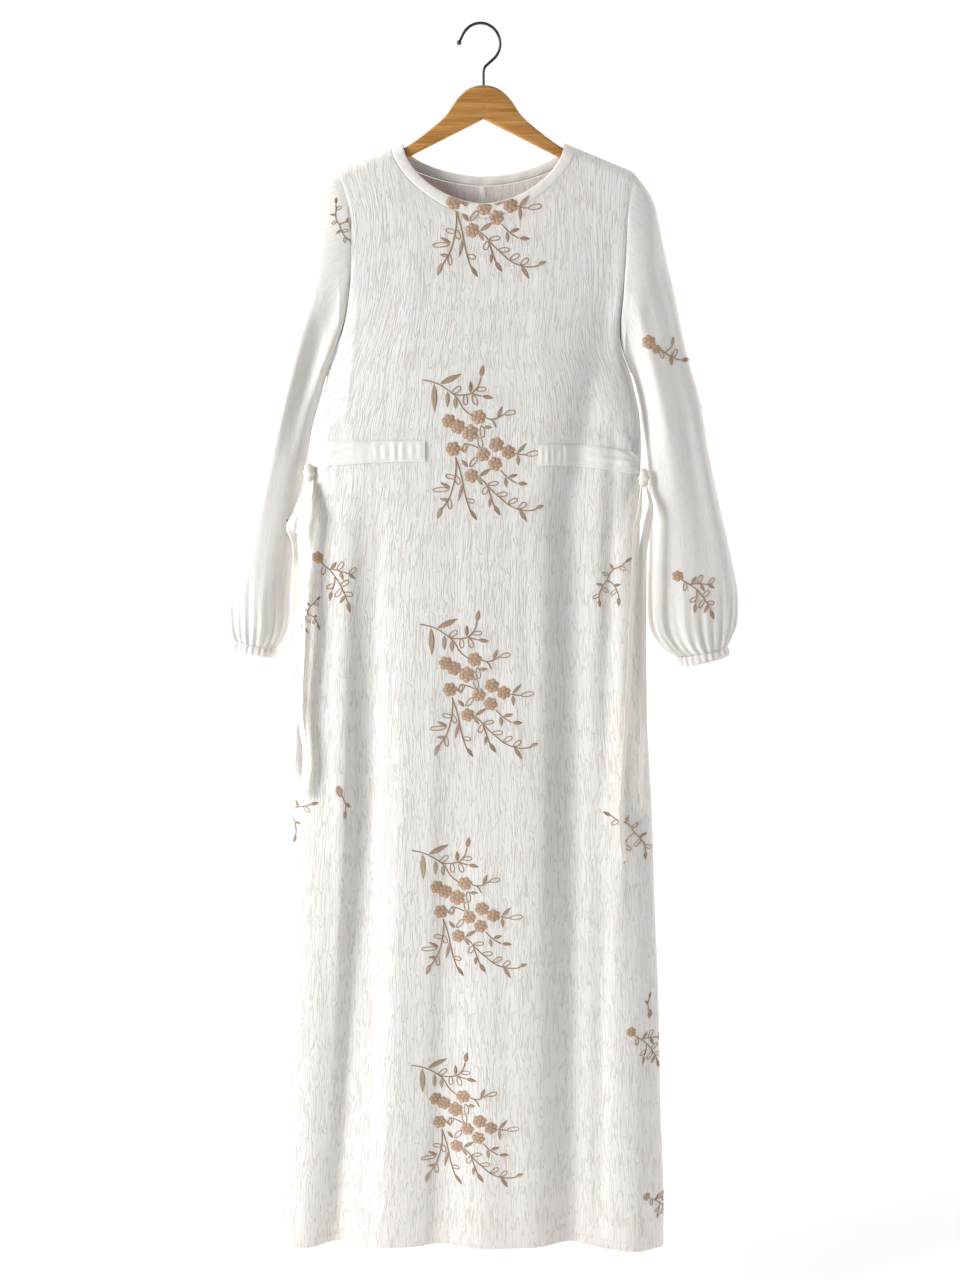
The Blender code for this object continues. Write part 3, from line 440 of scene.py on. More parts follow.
@dataclass(frozen=True)
class BodyForm:
    """The surface of the dress's body.

    At a height, depth runs from the edge's to the middle's as the root of one less the
    fourth power of the place across. It bends over the hanger along a quarter circle
    within curl of the shoulder line, and folds take their shares of it.
    """

    curl: float = 0.014
    neck_corner_z: float = -0.139
    neck_half: float = 0.1096
    shoulder_slope: float = 0.40
    fold_fade: float = 0.12
    most_ridge: float = -0.5
    most_valley: float = 0.85
    seam_dip: float = 0.0007
    seam_dip_width: float = 0.0030
    hem_turn: float = 0.0115
    hem_dip: float = 0.0005
    crinkle: Crinkle = field(default_factory=Crinkle)

    def outline(self, column: int, z: np.ndarray | float) -> np.ndarray:
        """One column of the outline table at a height.

        Args:
            column: LEFT, RIGHT, FRONT_DEPTH, BACK_DEPTH or EDGE_DEPTH.
            z: Heights.

        Returns:
            The column's value at each height.
        """
        return cubic_through(OUTLINE[:, 0], OUTLINE[:, column], z)

    def shoulder_z(self, x: np.ndarray | float) -> np.ndarray:
        """Height of the shoulder line, which falls evenly from the neck.

        Args:
            x: Places across.

        Returns:
            Its height at each place.
        """
        return self.neck_corner_z - self.shoulder_slope * (np.abs(x) - self.neck_half)

    def across(self, x: np.ndarray, z: np.ndarray) -> np.ndarray:
        """Place across the body, from -1 at the left seam to 1 at the right one.

        Args:
            x: Places across, in metres.
            z: Heights.

        Returns:
            The place as a share of the half width.
        """
        left = self.outline(LEFT, z)
        right = self.outline(RIGHT, z)
        return np.clip((2.0 * x - left - right) / (right - left), -1.0, 1.0)

    def depth(self, x: np.ndarray, z: np.ndarray, face: Face) -> np.ndarray:
        """How far the front or back stands out from the side seams' plane.

        Args:
            x: Places across.
            z: Heights.
            face: Front or back.

        Returns:
            The depth, as the class says.
        """
        edge = self.outline(EDGE_DEPTH, z)
        across = np.abs(self.across(x, z))
        column = FRONT_DEPTH if face is Face.FRONT else BACK_DEPTH
        depth = edge + (self.outline(column, z) - edge) * np.sqrt(1.0 - across**4)
        over = np.clip((self.shoulder_z(x) - z) / self.curl, 0.0, 1.0)
        depth = depth * np.sqrt(1.0 - (1.0 - over) ** 2)
        folds = FRONT_FOLDS if face is Face.FRONT else BACK_FOLDS
        share = sum(fold.share(x, z) for fold in folds)
        fade = smoothstep((1.0 - across) / self.fold_fade)
        return depth * (1.0 - np.clip(share, self.most_ridge, self.most_valley) * fade)

    def plain(self, x: np.ndarray, z: np.ndarray, face: Face) -> np.ndarray:
        """Points on the plain form, before any crinkle or crease.

        Args:
            x: Places across.
            z: Heights.
            face: Front or back.

        Returns:
            Points in metres.
        """
        y = face.value * (self.depth(x, z, face) + SEAM_GAP / 2)
        return np.stack([x, y, z], axis=-1)

    def normals(self, x: np.ndarray, z: np.ndarray, face: Face) -> np.ndarray:
        """Outward directions of the plain form, from the slopes of its depth.

        Args:
            x: Places across.
            z: Heights.
            face: Front or back.

        Returns:
            Unit directions.
        """
        h = SIDE_SLOPE_STEP
        slope_x = (self.depth(x + h, z, face) - self.depth(x - h, z, face)) / (2 * h)
        slope_z = (self.depth(x, z + h, face) - self.depth(x, z - h, face)) / (2 * h)
        raw = np.stack([-slope_x, np.full_like(slope_x, face.value), -slope_z], axis=-1)
        return raw / np.linalg.norm(raw, axis=-1, keepdims=True)

    def relief(self, x: np.ndarray, z: np.ndarray, face: Face) -> np.ndarray:
        """Crinkle, creases, drag lines, and the dips along seams and hem, all summed.

        Args:
            x: Places across.
            z: Heights.
            face: Front or back.

        Returns:
            Height over the plain form, in metres.
        """
        front = face is Face.FRONT
        across = self.across(x, z)
        half = (self.outline(RIGHT, z) - self.outline(LEFT, z)) / 2
        from_side = (1.0 - np.abs(across)) * half
        flare = np.clip((half - 0.17) / 0.09, 0.0, 1.0)
        grain = across * (0.180 + 0.040 * flare)
        total = self.crinkle.relief(grain, z, 21.0 if front else 43.0)
        for crease in FRONT_CREASES if front else BACK_CREASES:
            total = total + crease.relief(x, z)
        for pull in FRONT_PULLS if front else BACK_PULLS:
            total = total + pull.relief(x, z)
        from_shoulder = self.shoulder_z(x) - z
        total = total * smoothstep(from_side / 0.012) * smoothstep(from_shoulder / 0.014)
        total = total * smoothstep((z - HEM_Z) / 0.006 + 0.4)
        dip = np.exp(-((from_side / self.seam_dip_width) ** 2))
        pucker = soft_noise(z / 0.006, from_side / 0.02, 71.0) * np.exp(-from_side / 0.007)
        hem_line = np.exp(-(((z - HEM_Z - self.hem_turn) / 0.0022) ** 2))
        below = smoothstep((HEM_Z + self.hem_turn - z) / 0.003)
        total = total - self.seam_dip * dip + 0.0005 * pucker * smoothstep(from_side / 0.002)
        total = total - self.hem_dip * hem_line + 0.0004 * below
        return total

    def place(self, x: np.ndarray, z: np.ndarray, lift: np.ndarray, face: Face) -> np.ndarray:
        """Points on the finished cloth, moved outwards.

        Args:
            x: Places across.
            z: Heights.
            lift: Distance out from the cloth.
            face: Front or back.

        Returns:
            Points in metres.
        """
        out = self.relief(x, z, face) + lift
        return self.plain(x, z, face) + self.normals(x, z, face) * out[..., None]


def linear(hex_colour: str) -> tuple[float, float, float, float]:
    """Turn an sRGB colour into the linear values that shaders take.

    Args:
        hex_colour: Six digits, such as "F2EEE8".

    Returns:
        Linear red, green, blue and 1.
    """
    parts = np.array([int(hex_colour[i : i + 2], 16) for i in (0, 2, 4)]) / 255.0
    low = parts / 12.92
    high = ((parts + 0.055) / 1.055) ** 2.4
    values = np.where(parts <= 0.04045, low, high)
    return (float(values[0]), float(values[1]), float(values[2]), 1.0)


class Shader:
    """A material whose node tree is built by one small function."""

    def __init__(self, name: str) -> None:
        """Start a material with its Principled surface.

        Args:
            name: The material's name.
        """
        self.material = bpy.data.materials.new(name)
        self.material.use_nodes = True
        self.tree = self.material.node_tree
        self.surface = self.tree.nodes["Principled BSDF"]

    def add(self, kind: str, inputs: dict | None = None, **settings: object) -> bpy.types.Node:
        """Add one node.

        Args:
            kind: The node's type name.
            inputs: Input name or number to a value, or to the output that feeds it.
            **settings: The node's own settings.

        Returns:
            The node.
        """
        made = self.tree.nodes.new(kind)
        for key, value in settings.items():
            setattr(made, key, value)
        self.feed(made, inputs or {})
        return made

    def feed(self, made: bpy.types.Node, inputs: dict) -> None:
        """Set or link inputs of a node.

        Args:
            made: The node.
            inputs: Input name or number to a value or an output.
        """
        for key, value in inputs.items():
            if isinstance(value, bpy.types.NodeSocket):
                self.tree.links.new(value, made.inputs[key])
            else:
                made.inputs[key].default_value = value

    def stretched(
        self, source: bpy.types.NodeSocket, steps: tuple[float, ...]
    ) -> bpy.types.NodeSocket:
        """Divide coordinates by real sizes, so one unit is one step of the pattern.

        Args:
            source: The coordinates, in metres.
            steps: Size of one step along each axis, in metres.

        Returns:
            The stretched coordinates.
        """
        scale = tuple(1.0 / step for step in steps)
        return self.add(
            "ShaderNodeMapping", {"Vector": source, "Scale": scale}, vector_type="POINT"
        ).outputs["Vector"]


@dataclass(frozen=True)
class CrepeFinish:
    """Ivory crinkle crepe.

    The real cloth is woven with hard-twisted weft, which draws it up into fine uneven
    lengthwise crinkles about 3 to 5 mm apart. The eye sees a matt, slightly pebbled
    surface with thin soft vertical shadows, and light coming a little through it. Those
    shadows come partly from the bumped grooves and partly from painted shade: the colour
    darkens to the shadow colour along each crinkle line.
    """

    name: str
    colour: str = "F6F2EF"
    # painted shade, laid along the crinkle grooves
    shadow: str = "E2DCD5"
    crinkle_width: float = 0.0036
    crinkle_length: float = 0.042
    crinkle_height: float = 0.00022
    line_share: float = 0.055
    fine_width: float = 0.0024
    fine_length: float = 0.026
    fine_height: float = 0.00018
    pebble: float = 0.00075
    pebble_height: float = 0.00006
    roughness: float = 0.82
    sheen: float = 0.12

    def build(self) -> bpy.types.Material:
        """Make the material.

        Returns:
            The finished material, which reads the piece's own cloth map in metres.
        """
        shader = Shader(self.name)
        cloth = shader.add("ShaderNodeUVMap", uv_map="cloth").outputs["UV"]
        long_ones = shader.stretched(cloth, (self.crinkle_width, self.crinkle_length, 1.0))
        fine_ones = shader.stretched(cloth, (self.fine_width, self.fine_length, 1.0))
        pebbles = shader.stretched(cloth, (self.pebble, self.pebble, 1.0))
        crinkle = shader.add(
            "ShaderNodeTexNoise",
            {"Vector": long_ones, "Scale": 1.0, "Detail": 1.5, "Distortion": 0.4},
            noise_dimensions="2D",
        )
        fine = shader.add(
            "ShaderNodeTexNoise",
            {"Vector": fine_ones, "Scale": 1.0, "Detail": 1.0},
            noise_dimensions="2D",
        )
        pebble = shader.add(
            "ShaderNodeTexNoise",
            {"Vector": pebbles, "Scale": 1.0, "Detail": 1.0},
            noise_dimensions="2D",
        )
        offset = shader.add(
            "ShaderNodeMath", {0: crinkle.outputs[0], 1: 0.5}, operation="SUBTRACT"
        )
        away = shader.add("ShaderNodeMath", {0: offset.outputs[0]}, operation="ABSOLUTE")
        hollow = shader.add(
            "ShaderNodeMapRange",
            {"Value": away.outputs[0], "From Min": 0.0, "From Max": self.line_share},
            interpolation_type="SMOOTHSTEP",
        )
        wide = shader.add(
            "ShaderNodeBump",
            {"Height": hollow.outputs[0], "Distance": self.crinkle_height, "Strength": 1.0},
        )
        narrow = shader.add(
            "ShaderNodeBump",
            {
                "Height": fine.outputs[0],
                "Distance": self.fine_height,
                "Strength": 1.0,
                "Normal": wide.outputs[0],
            },
        )
        grain = shader.add(
            "ShaderNodeBump",
            {
                "Height": pebble.outputs[0],
                "Distance": self.pebble_height,
                "Strength": 1.0,
                "Normal": narrow.outputs[0],
            },
        )
        # Painted shade: the base colour darkens to the shadow colour along the crinkle lines, where
        # the bump sinks its grooves.
        groove_shade = shader.add(
            "ShaderNodeMix",
            {
                "Factor": hollow.outputs[0],
                "A": linear(self.shadow),
                "B": linear(self.colour),
            },
            data_type="RGBA",
        )
        shader.feed(
            shader.surface,
            {
                "Base Color": groove_shade.outputs["Result"],
                "Roughness": self.roughness,
                "Sheen Weight": self.sheen,
                "Sheen Roughness": 0.5,
                "Subsurface Weight": 0.18,
                "Subsurface Scale": 0.0025,
                "Normal": grain.outputs[0],
            },
        )
        return shader.material


@dataclass(frozen=True)
class BandFinish:
    """The smoother cloth of the bands and ties.

    Pressed and turned strips of the same ivory stuff cut flat: a close weave with a
    faint satin shine, so that the small dimples between stitches catch the light.
    """

    name: str
    colour: str = "F8F5F0"
    weave: float = 0.0006
    weave_height: float = 0.00005
    soft: float = 0.006
    soft_height: float = 0.00035
    roughness: float = 0.48

    def build(self) -> bpy.types.Material:
        """Make the material.

        Returns:
            The finished material, which reads the piece's own cloth map in metres.
        """
        shader = Shader(self.name)
        cloth = shader.add("ShaderNodeUVMap", uv_map="cloth").outputs["UV"]
        fine = shader.add(
            "ShaderNodeTexNoise",
            {
                "Vector": shader.stretched(cloth, (self.weave, self.weave, 1.0)),
                "Scale": 1.0,
            },
            noise_dimensions="2D",
        )
        soft = shader.add(
            "ShaderNodeTexNoise",
            {
                "Vector": shader.stretched(cloth, (self.soft, self.soft * 1.6, 1.0)),
                "Scale": 1.0,
                "Detail": 1.0,
            },
            noise_dimensions="2D",
        )
        rolling = shader.add(
            "ShaderNodeBump",
            {"Height": soft.outputs[0], "Distance": self.soft_height, "Strength": 1.0},
        )
        grain = shader.add(
            "ShaderNodeBump",
            {
                "Height": fine.outputs[0],
                "Distance": self.weave_height,
                "Strength": 1.0,
                "Normal": rolling.outputs[0],
            },
        )
        shader.feed(
            shader.surface,
            {
                "Base Color": linear(self.colour),
                "Roughness": self.roughness,
                "Sheen Weight": 0.15,
                "Subsurface Weight": 0.12,
                "Subsurface Scale": 0.0020,
                "Normal": grain.outputs[0],
            },
        )
        return shader.material


@dataclass(frozen=True)
class ThreadFinish:
    """Embroidery floss.

    Several strands of mercerised cotton lie side by side: each stitch is a small bright
    bar, so satin-stitched leaves and chain-stitched flowers look finely ribbed and
    silky. The tone attribute runs from the dark stem thread to the pale filling. On the
    flowers it also holds painted shade: lighter on the raised rows of chain stitch, darker
    between them and in the sunk gaps between the petals.
    """

    name: str
    dark: str = "A68468"
    middle: str = "CDAA8D"
    pale: str = "EBD8C4"
    rib_height: float = 0.00016
    roughness: float = 0.42

    def build(self) -> bpy.types.Material:
        """Make the material.

        Returns:
            The finished material, which reads the thread map (one unit is one stitch)
            and the tone attribute.
        """
        shader = Shader(self.name)
        stitches = shader.add("ShaderNodeUVMap", uv_map="cloth").outputs["UV"]
        split = shader.add("ShaderNodeSeparateXYZ", {"Vector": stitches})
        turns = shader.add(
            "ShaderNodeMath", {0: split.outputs["X"], 1: 2.0 * math.pi}, operation="MULTIPLY"
        )
        wave = shader.add("ShaderNodeMath", {0: turns.outputs[0]}, operation="SINE")
        rib = shader.add(
            "ShaderNodeBump",
            {"Height": wave.outputs[0], "Distance": self.rib_height, "Strength": 1.0},
        )
        tone = shader.add("ShaderNodeAttribute", attribute_name="tone")
        speck = shader.add(
            "ShaderNodeTexNoise",
            {"Vector": stitches, "Scale": 0.9, "Detail": 1.0},
            noise_dimensions="2D",
        )
        shift = shader.add(
            "ShaderNodeMath", {0: speck.outputs[0], 1: 0.30, 2: -0.15}, operation="MULTIPLY_ADD"
        )
        varied = shader.add(
            "ShaderNodeMath",
            {0: tone.outputs["Fac"], 1: shift.outputs[0]},
            operation="ADD",
            use_clamp=True,
        )
        ramp = shader.add("ShaderNodeValToRGB", {"Fac": varied.outputs[0]})
        stops = ramp.color_ramp.elements
        stops[0].color = linear(self.dark)
        stops[1].color = linear(self.pale)
        stops.new(0.5).color = linear(self.middle)
        shader.feed(
            shader.surface,
            {
                "Base Color": ramp.outputs["Color"],
                "Roughness": self.roughness,
                "Sheen Weight": 0.25,
                "Specular IOR Level": 0.45,
                "Normal": rib.outputs[0],
            },
        )
        return shader.material


@dataclass(frozen=True)
class StitchFinish:
    """Ivory sewing thread, a little rounder and shinier than the cloth it lies in."""

    name: str
    colour: str = "EFEAE2"
    roughness: float = 0.45

    def build(self) -> bpy.types.Material:
        """Make the material.

        Returns:
            The finished material.
        """
        shader = Shader(self.name)
        shader.feed(
            shader.surface,
            {"Base Color": linear(self.colour), "Roughness": self.roughness},
        )
        return shader.material


@dataclass(frozen=True)
class WoodFinish:
    """Varnished honey-coloured hardwood.

    The hanger is cut from two plain-sawn boards joined in the middle, so the grain runs
    along each arm and the two halves differ a little in tone. The rounded lower edge
    turns away from the light under the varnish and looks darker.
    """

    name: str
    light: str = "D6A058"
    dark: str = "A9702F"
    streak: tuple[float, float, float] = (0.060, 0.0016, 0.0016)
    ring: tuple[float, float, float] = (0.180, 0.007, 0.007)
    half_shift: float = 0.06
    roughness: float = 0.38

    def build(self) -> bpy.types.Material:
        """Make the material.

        Returns:
            The finished material, which reads object coordinates.
        """
        shader = Shader(self.name)
        place = shader.add("ShaderNodeTexCoord").outputs["Object"]
        streaks = shader.add(
            "ShaderNodeTexNoise",
            {"Vector": shader.stretched(place, self.streak), "Scale": 1.0, "Detail": 3.0},
        )
        rings = shader.add(
            "ShaderNodeTexNoise",
            {
                "Vector": shader.stretched(place, self.ring),
                "Scale": 1.0,
                "Detail": 2.0,
                "Distortion": 0.6,
            },
        )
        split = shader.add("ShaderNodeSeparateXYZ", {"Vector": place})
        right = shader.add(
            "ShaderNodeMath", {0: split.outputs["X"], 1: 0.0}, operation="GREATER_THAN"
        )
        both = shader.add(
            "ShaderNodeMath",
            {0: streaks.outputs[0], 1: rings.outputs[0]},
            operation="ADD",
        )
        half = shader.add(
            "ShaderNodeMath",
            {0: right.outputs[0], 1: -self.half_shift, 2: both.outputs[0]},
            operation="MULTIPLY_ADD",
        )
        tone = shader.add(
            "ShaderNodeMapRange",
            {"Value": half.outputs[0], "From Min": 0.72, "From Max": 1.28},
        )
        colour = shader.add(
            "ShaderNodeMix",
            {"Factor": tone.outputs[0], "A": linear(self.dark), "B": linear(self.light)},
            data_type="RGBA",
        )
        pores = shader.add(
            "ShaderNodeBump",
            {"Height": streaks.outputs[0], "Distance": 0.00012, "Strength": 0.6},
        )
        shader.feed(
            shader.surface,
            {
                "Base Color": colour.outputs["Result"],
                "Roughness": self.roughness,
                "Coat Weight": 0.35,
                "Coat Roughness": 0.18,
                "Normal": pores.outputs[0],
            },
        )
        return shader.material


@dataclass(frozen=True)
class SteelFinish:
    """Bent steel wire with a dark nickel look and fine drawing marks along it."""

    name: str
    colour: str = "55565A"
    roughness: float = 0.27

    def build(self) -> bpy.types.Material:
        """Make the material.

        Returns:
            The finished material, which reads the piece's own map in metres.
        """
        shader = Shader(self.name)
        cloth = shader.add("ShaderNodeUVMap", uv_map="cloth").outputs["UV"]
        marks = shader.add(
            "ShaderNodeTexNoise",
            {"Vector": shader.stretched(cloth, (0.0003, 0.006, 1.0)), "Scale": 1.0},
            noise_dimensions="2D",
        )
        lines = shader.add(
            "ShaderNodeBump",
            {"Height": marks.outputs[0], "Distance": 0.00002, "Strength": 0.6},
        )
        wear = shader.add(
            "ShaderNodeMapRange",
            {
                "Value": marks.outputs[0],
                "To Min": self.roughness - 0.06,
                "To Max": self.roughness + 0.08,
            },
        )
        shader.feed(
            shader.surface,
            {
                "Base Color": linear(self.colour),
                "Metallic": 1.0,
                "Roughness": wear.outputs[0],
                "Normal": lines.outputs[0],
            },
        )
        return shader.material


@dataclass
class Finishes:
    """One material of each kind, shared by the pieces."""

    crepe: bpy.types.Material
    sleeve: bpy.types.Material
    band: bpy.types.Material
    tie: bpy.types.Material
    thread: bpy.types.Material
    stitch: bpy.types.Material
    wood: bpy.types.Material
    steel: bpy.types.Material

    @classmethod
    def make(cls) -> Finishes:
        """Build every material.

        Returns:
            All of them together.
        """
        return cls(
            crepe=CrepeFinish("crepe_cloth").build(),
            sleeve=CrepeFinish(
                "sleeve_crepe",
                # a lighter painted shade along the sleeves' shallower crinkle grooves
                shadow="F1ECE5",
                crinkle_height=0.00010,
                fine_height=0.00006,
            ).build(),
            band=BandFinish("band_cloth").build(),
            tie=BandFinish("tie_cloth", colour="F4F0E9", roughness=0.6).build(),
            thread=ThreadFinish("taupe_floss").build(),
            stitch=StitchFinish("ivory_thread").build(),
            wood=WoodFinish("honey_wood").build(),
            steel=SteelFinish("dark_steel").build(),
        )


def grid_normals(points: np.ndarray, closed: bool = False) -> np.ndarray:
    """Directions across a grid of points, from the differences of its neighbours.

    Args:
        points: Rows by columns of points.
        closed: Whether the last column joins the first.

    Returns:
        Unit directions, of one sign over the grid.
    """
    if closed:
        along = np.roll(points, -1, axis=1) - np.roll(points, 1, axis=1)
    else:
        along = np.gradient(points, axis=1)
    down = np.gradient(points, axis=0)
    raw = np.cross(along, down)
    return raw / np.maximum(np.linalg.norm(raw, axis=-1, keepdims=True), 1e-12)


def cloth_map(points: np.ndarray, closed: bool = False) -> np.ndarray:
    """Lay a grid of points flat: metres across by metres along, from its middle row.

    Args:
        points: Rows by columns of points.
        closed: Whether the last column joins the first.

    Returns:
        Flat coordinates, with one column more where the grid is closed.
    """
    if closed:
        points = np.concatenate([points, points[:, :1]], axis=1)
    steps = np.linalg.norm(np.diff(points, axis=1), axis=-1).mean(axis=0)
    across = np.concatenate([[0.0], np.cumsum(steps)])
    rises = np.linalg.norm(np.diff(points, axis=0), axis=-1).mean(axis=1)
    along = np.concatenate([[0.0], np.cumsum(rises)])
    return np.stack(np.meshgrid(across, along), axis=-1)


def make_object(
    name: str,
    points: np.ndarray,
    faces: list,
    corner_map: np.ndarray,
    material: bpy.types.Material,
    sharp: float = 55.0,
) -> bpy.types.Object:
    """Put one smooth mesh with its flat map in the scene.

    Args:
        name: The piece's name.
        points: Its vertices.
        faces: Its polygons, as vertex numbers.
        corner_map: Flat coordinates of each polygon corner, in the order of the faces.
        material: Its finish.
        sharp: Edges that turn more than this many degrees stay sharp.

    Returns:
        The piece, at the origin.
    """
    mesh = bpy.data.meshes.new(name)
    mesh.from_pydata(points.tolist(), [], faces)
    layer = mesh.uv_layers.new(name="cloth")
    layer.data.foreach_set("uv", corner_map.astype(np.float32).ravel())
    mesh.materials.append(material)
    mesh.shade_smooth()
    mesh.set_sharp_from_angle(angle=math.radians(sharp))
    piece = bpy.data.objects.new(name, mesh)
    bpy.context.scene.collection.objects.link(piece)
    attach(piece, "root")
    log.info("%s: %d polygons", name, len(faces))
    return piece


def grid_faces(rows: int, columns: int, closed: bool) -> np.ndarray:
    """Quads over a grid of numbered points.

    Args:
        rows: Number of rows.
        columns: Number of columns.
        closed: Whether the last column joins the first.

    Returns:
        Vertex numbers, four a quad.
    """
    spans = columns if closed else columns - 1
    row = np.arange(rows - 1)[:, None] * columns
    column = np.arange(spans)[None, :]
    after = (column + 1) % columns
    quads = np.stack(
        [row + column, row + after, row + columns + after, row + columns + column], axis=-1
    )
    return quads.reshape(-1, 4)


def thin_wall(
    name: str,
    outer: np.ndarray,
    inner: np.ndarray,
    material: bpy.types.Material,
    closed: bool = False,
    flat: np.ndarray | None = None,
) -> bpy.types.Object:
    """A cloth wall between two grids: both skins, and the edges between them.

    Args:
        name: The piece's name.
        outer: Rows by columns of points on the outside.
        inner: The same on the inside.
        material: Its finish.
        closed: Whether the last column joins the first, as round a sleeve.
        flat: Its flat map, or None to lay the outer grid flat.

    Returns:
        The piece.
    """
    rows, columns = outer.shape[:2]
    flat = cloth_map(outer, closed) if flat is None else flat
    behind = rows * columns
    skin = grid_faces(rows, columns, closed)
    wide = columns + 1 if closed else columns
    corners = grid_faces(rows, wide, False)
    flat_points = flat.reshape(-1, 2)
    spans = wide - 1
    first = np.arange(spans)
    after = (first + 1) % columns
    last = (rows - 1) * columns
    rims = [
        np.stack([after, first, behind + first, behind + after], axis=-1),
        np.stack(
            [last + first, last + after, behind + last + after, behind + last + first], axis=-1
        ),
    ]
    rim_corners = [
        np.stack([first + 1, first, first, first + 1], axis=-1),
        (rows - 1) * wide + np.stack([first, first + 1, first + 1, first], axis=-1),
    ]
    if not closed:
        low = np.arange(rows - 1) * columns
        high = low + columns
        end = columns - 1
        rims.append(np.stack([low, high, behind + high, behind + low], axis=-1))
        rims.append(
            np.stack([high + end, low + end, behind + low + end, behind + high + end], axis=-1)
        )
        rim_corners.append(np.stack([low, high, high, low], axis=-1))
        rim_corners.append(np.stack([high + end, low + end, low + end, high + end], axis=-1))
    faces = np.concatenate([skin, behind + skin[:, ::-1], *rims])
    corner = np.concatenate([corners, corners[:, ::-1], *rim_corners])
    points = np.concatenate([outer.reshape(-1, 3), inner.reshape(-1, 3)])
    turned = np.cross(
        points[skin[:, 1]] - points[skin[:, 0]], points[skin[:, 3]] - points[skin[:, 0]]
    )
    outward = (points[skin[:, 0]] - points[behind + skin[:, 0]]) * turned
    if outward.sum() < 0:
        faces = faces[:, ::-1]
        corner = corner[:, ::-1]
    return make_object(name, points, faces.tolist(), flat_points[corner.ravel()], material)


def loft(
    name: str, sections: np.ndarray, material: bpy.types.Material, sharp: float = 55.0
) -> bpy.types.Object:
    """A solid through closed sections, with flat ends.

    Args:
        name: The piece's name.
        sections: Rows by columns of points, each row one section.
        material: Its finish.
        sharp: Edges that turn more than this many degrees stay sharp.

    Returns:
        The piece.
    """
    rows, columns = sections.shape[:2]
    skin = grid_faces(rows, columns, True)
    corners = grid_faces(rows, columns + 1, False)
    flat = cloth_map(sections, True).reshape(-1, 2)
    points = sections.reshape(-1, 3)
    middle = np.repeat(sections.mean(axis=1), columns, axis=0)
    turned = np.cross(
        points[skin[:, 1]] - points[skin[:, 0]], points[skin[:, 3]] - points[skin[:, 0]]
    )
    outward = ((points - middle)[skin[:, 0]] * turned).sum() > 0
    first = np.arange(columns)
    last = first + (rows - 1) * columns
    caps = [first[::-1].tolist(), last.tolist()]
    if not outward:
        skin = skin[:, ::-1]
        corners = corners[:, ::-1]
        caps = [caps[0][::-1], caps[1][::-1]]
    faces = skin.tolist() + caps
    cap_map = np.zeros((2 * columns, 2))
    corner_map = np.concatenate([flat[corners.ravel()], cap_map])
    return make_object(name, points, faces, corner_map, material, sharp)


def smooth_path(values: np.ndarray, count: int) -> np.ndarray:
    """Even steps on a Catmull-Rom curve through a list of points.

    Args:
        values: One row of numbers for each point.
        count: Number of points wanted.

    Returns:
        The rows along the curve.
    """
    values = np.asarray(values, dtype=float)
    at = np.linspace(0, len(values) - 1, count)
    i = np.clip(at.astype(int), 0, len(values) - 2)
    t = (at - i)[:, None]
    before = 2 * values[:1] - values[1:2]
    beyond = 2 * values[-1:] - values[-2:-1]
    padded = np.concatenate([before, values, beyond])
    a, b, c, d = padded[i], padded[i + 1], padded[i + 2], padded[i + 3]
    return 0.5 * (
        2 * b
        + (c - a) * t
        + (2 * a - 5 * b + 4 * c - d) * t**2
        + (3 * b - a - 3 * c + d) * t**3
    )


# x near each shoulder's tip, where its height is read
LEFT_TIP = -0.175
RIGHT_TIP = 0.178


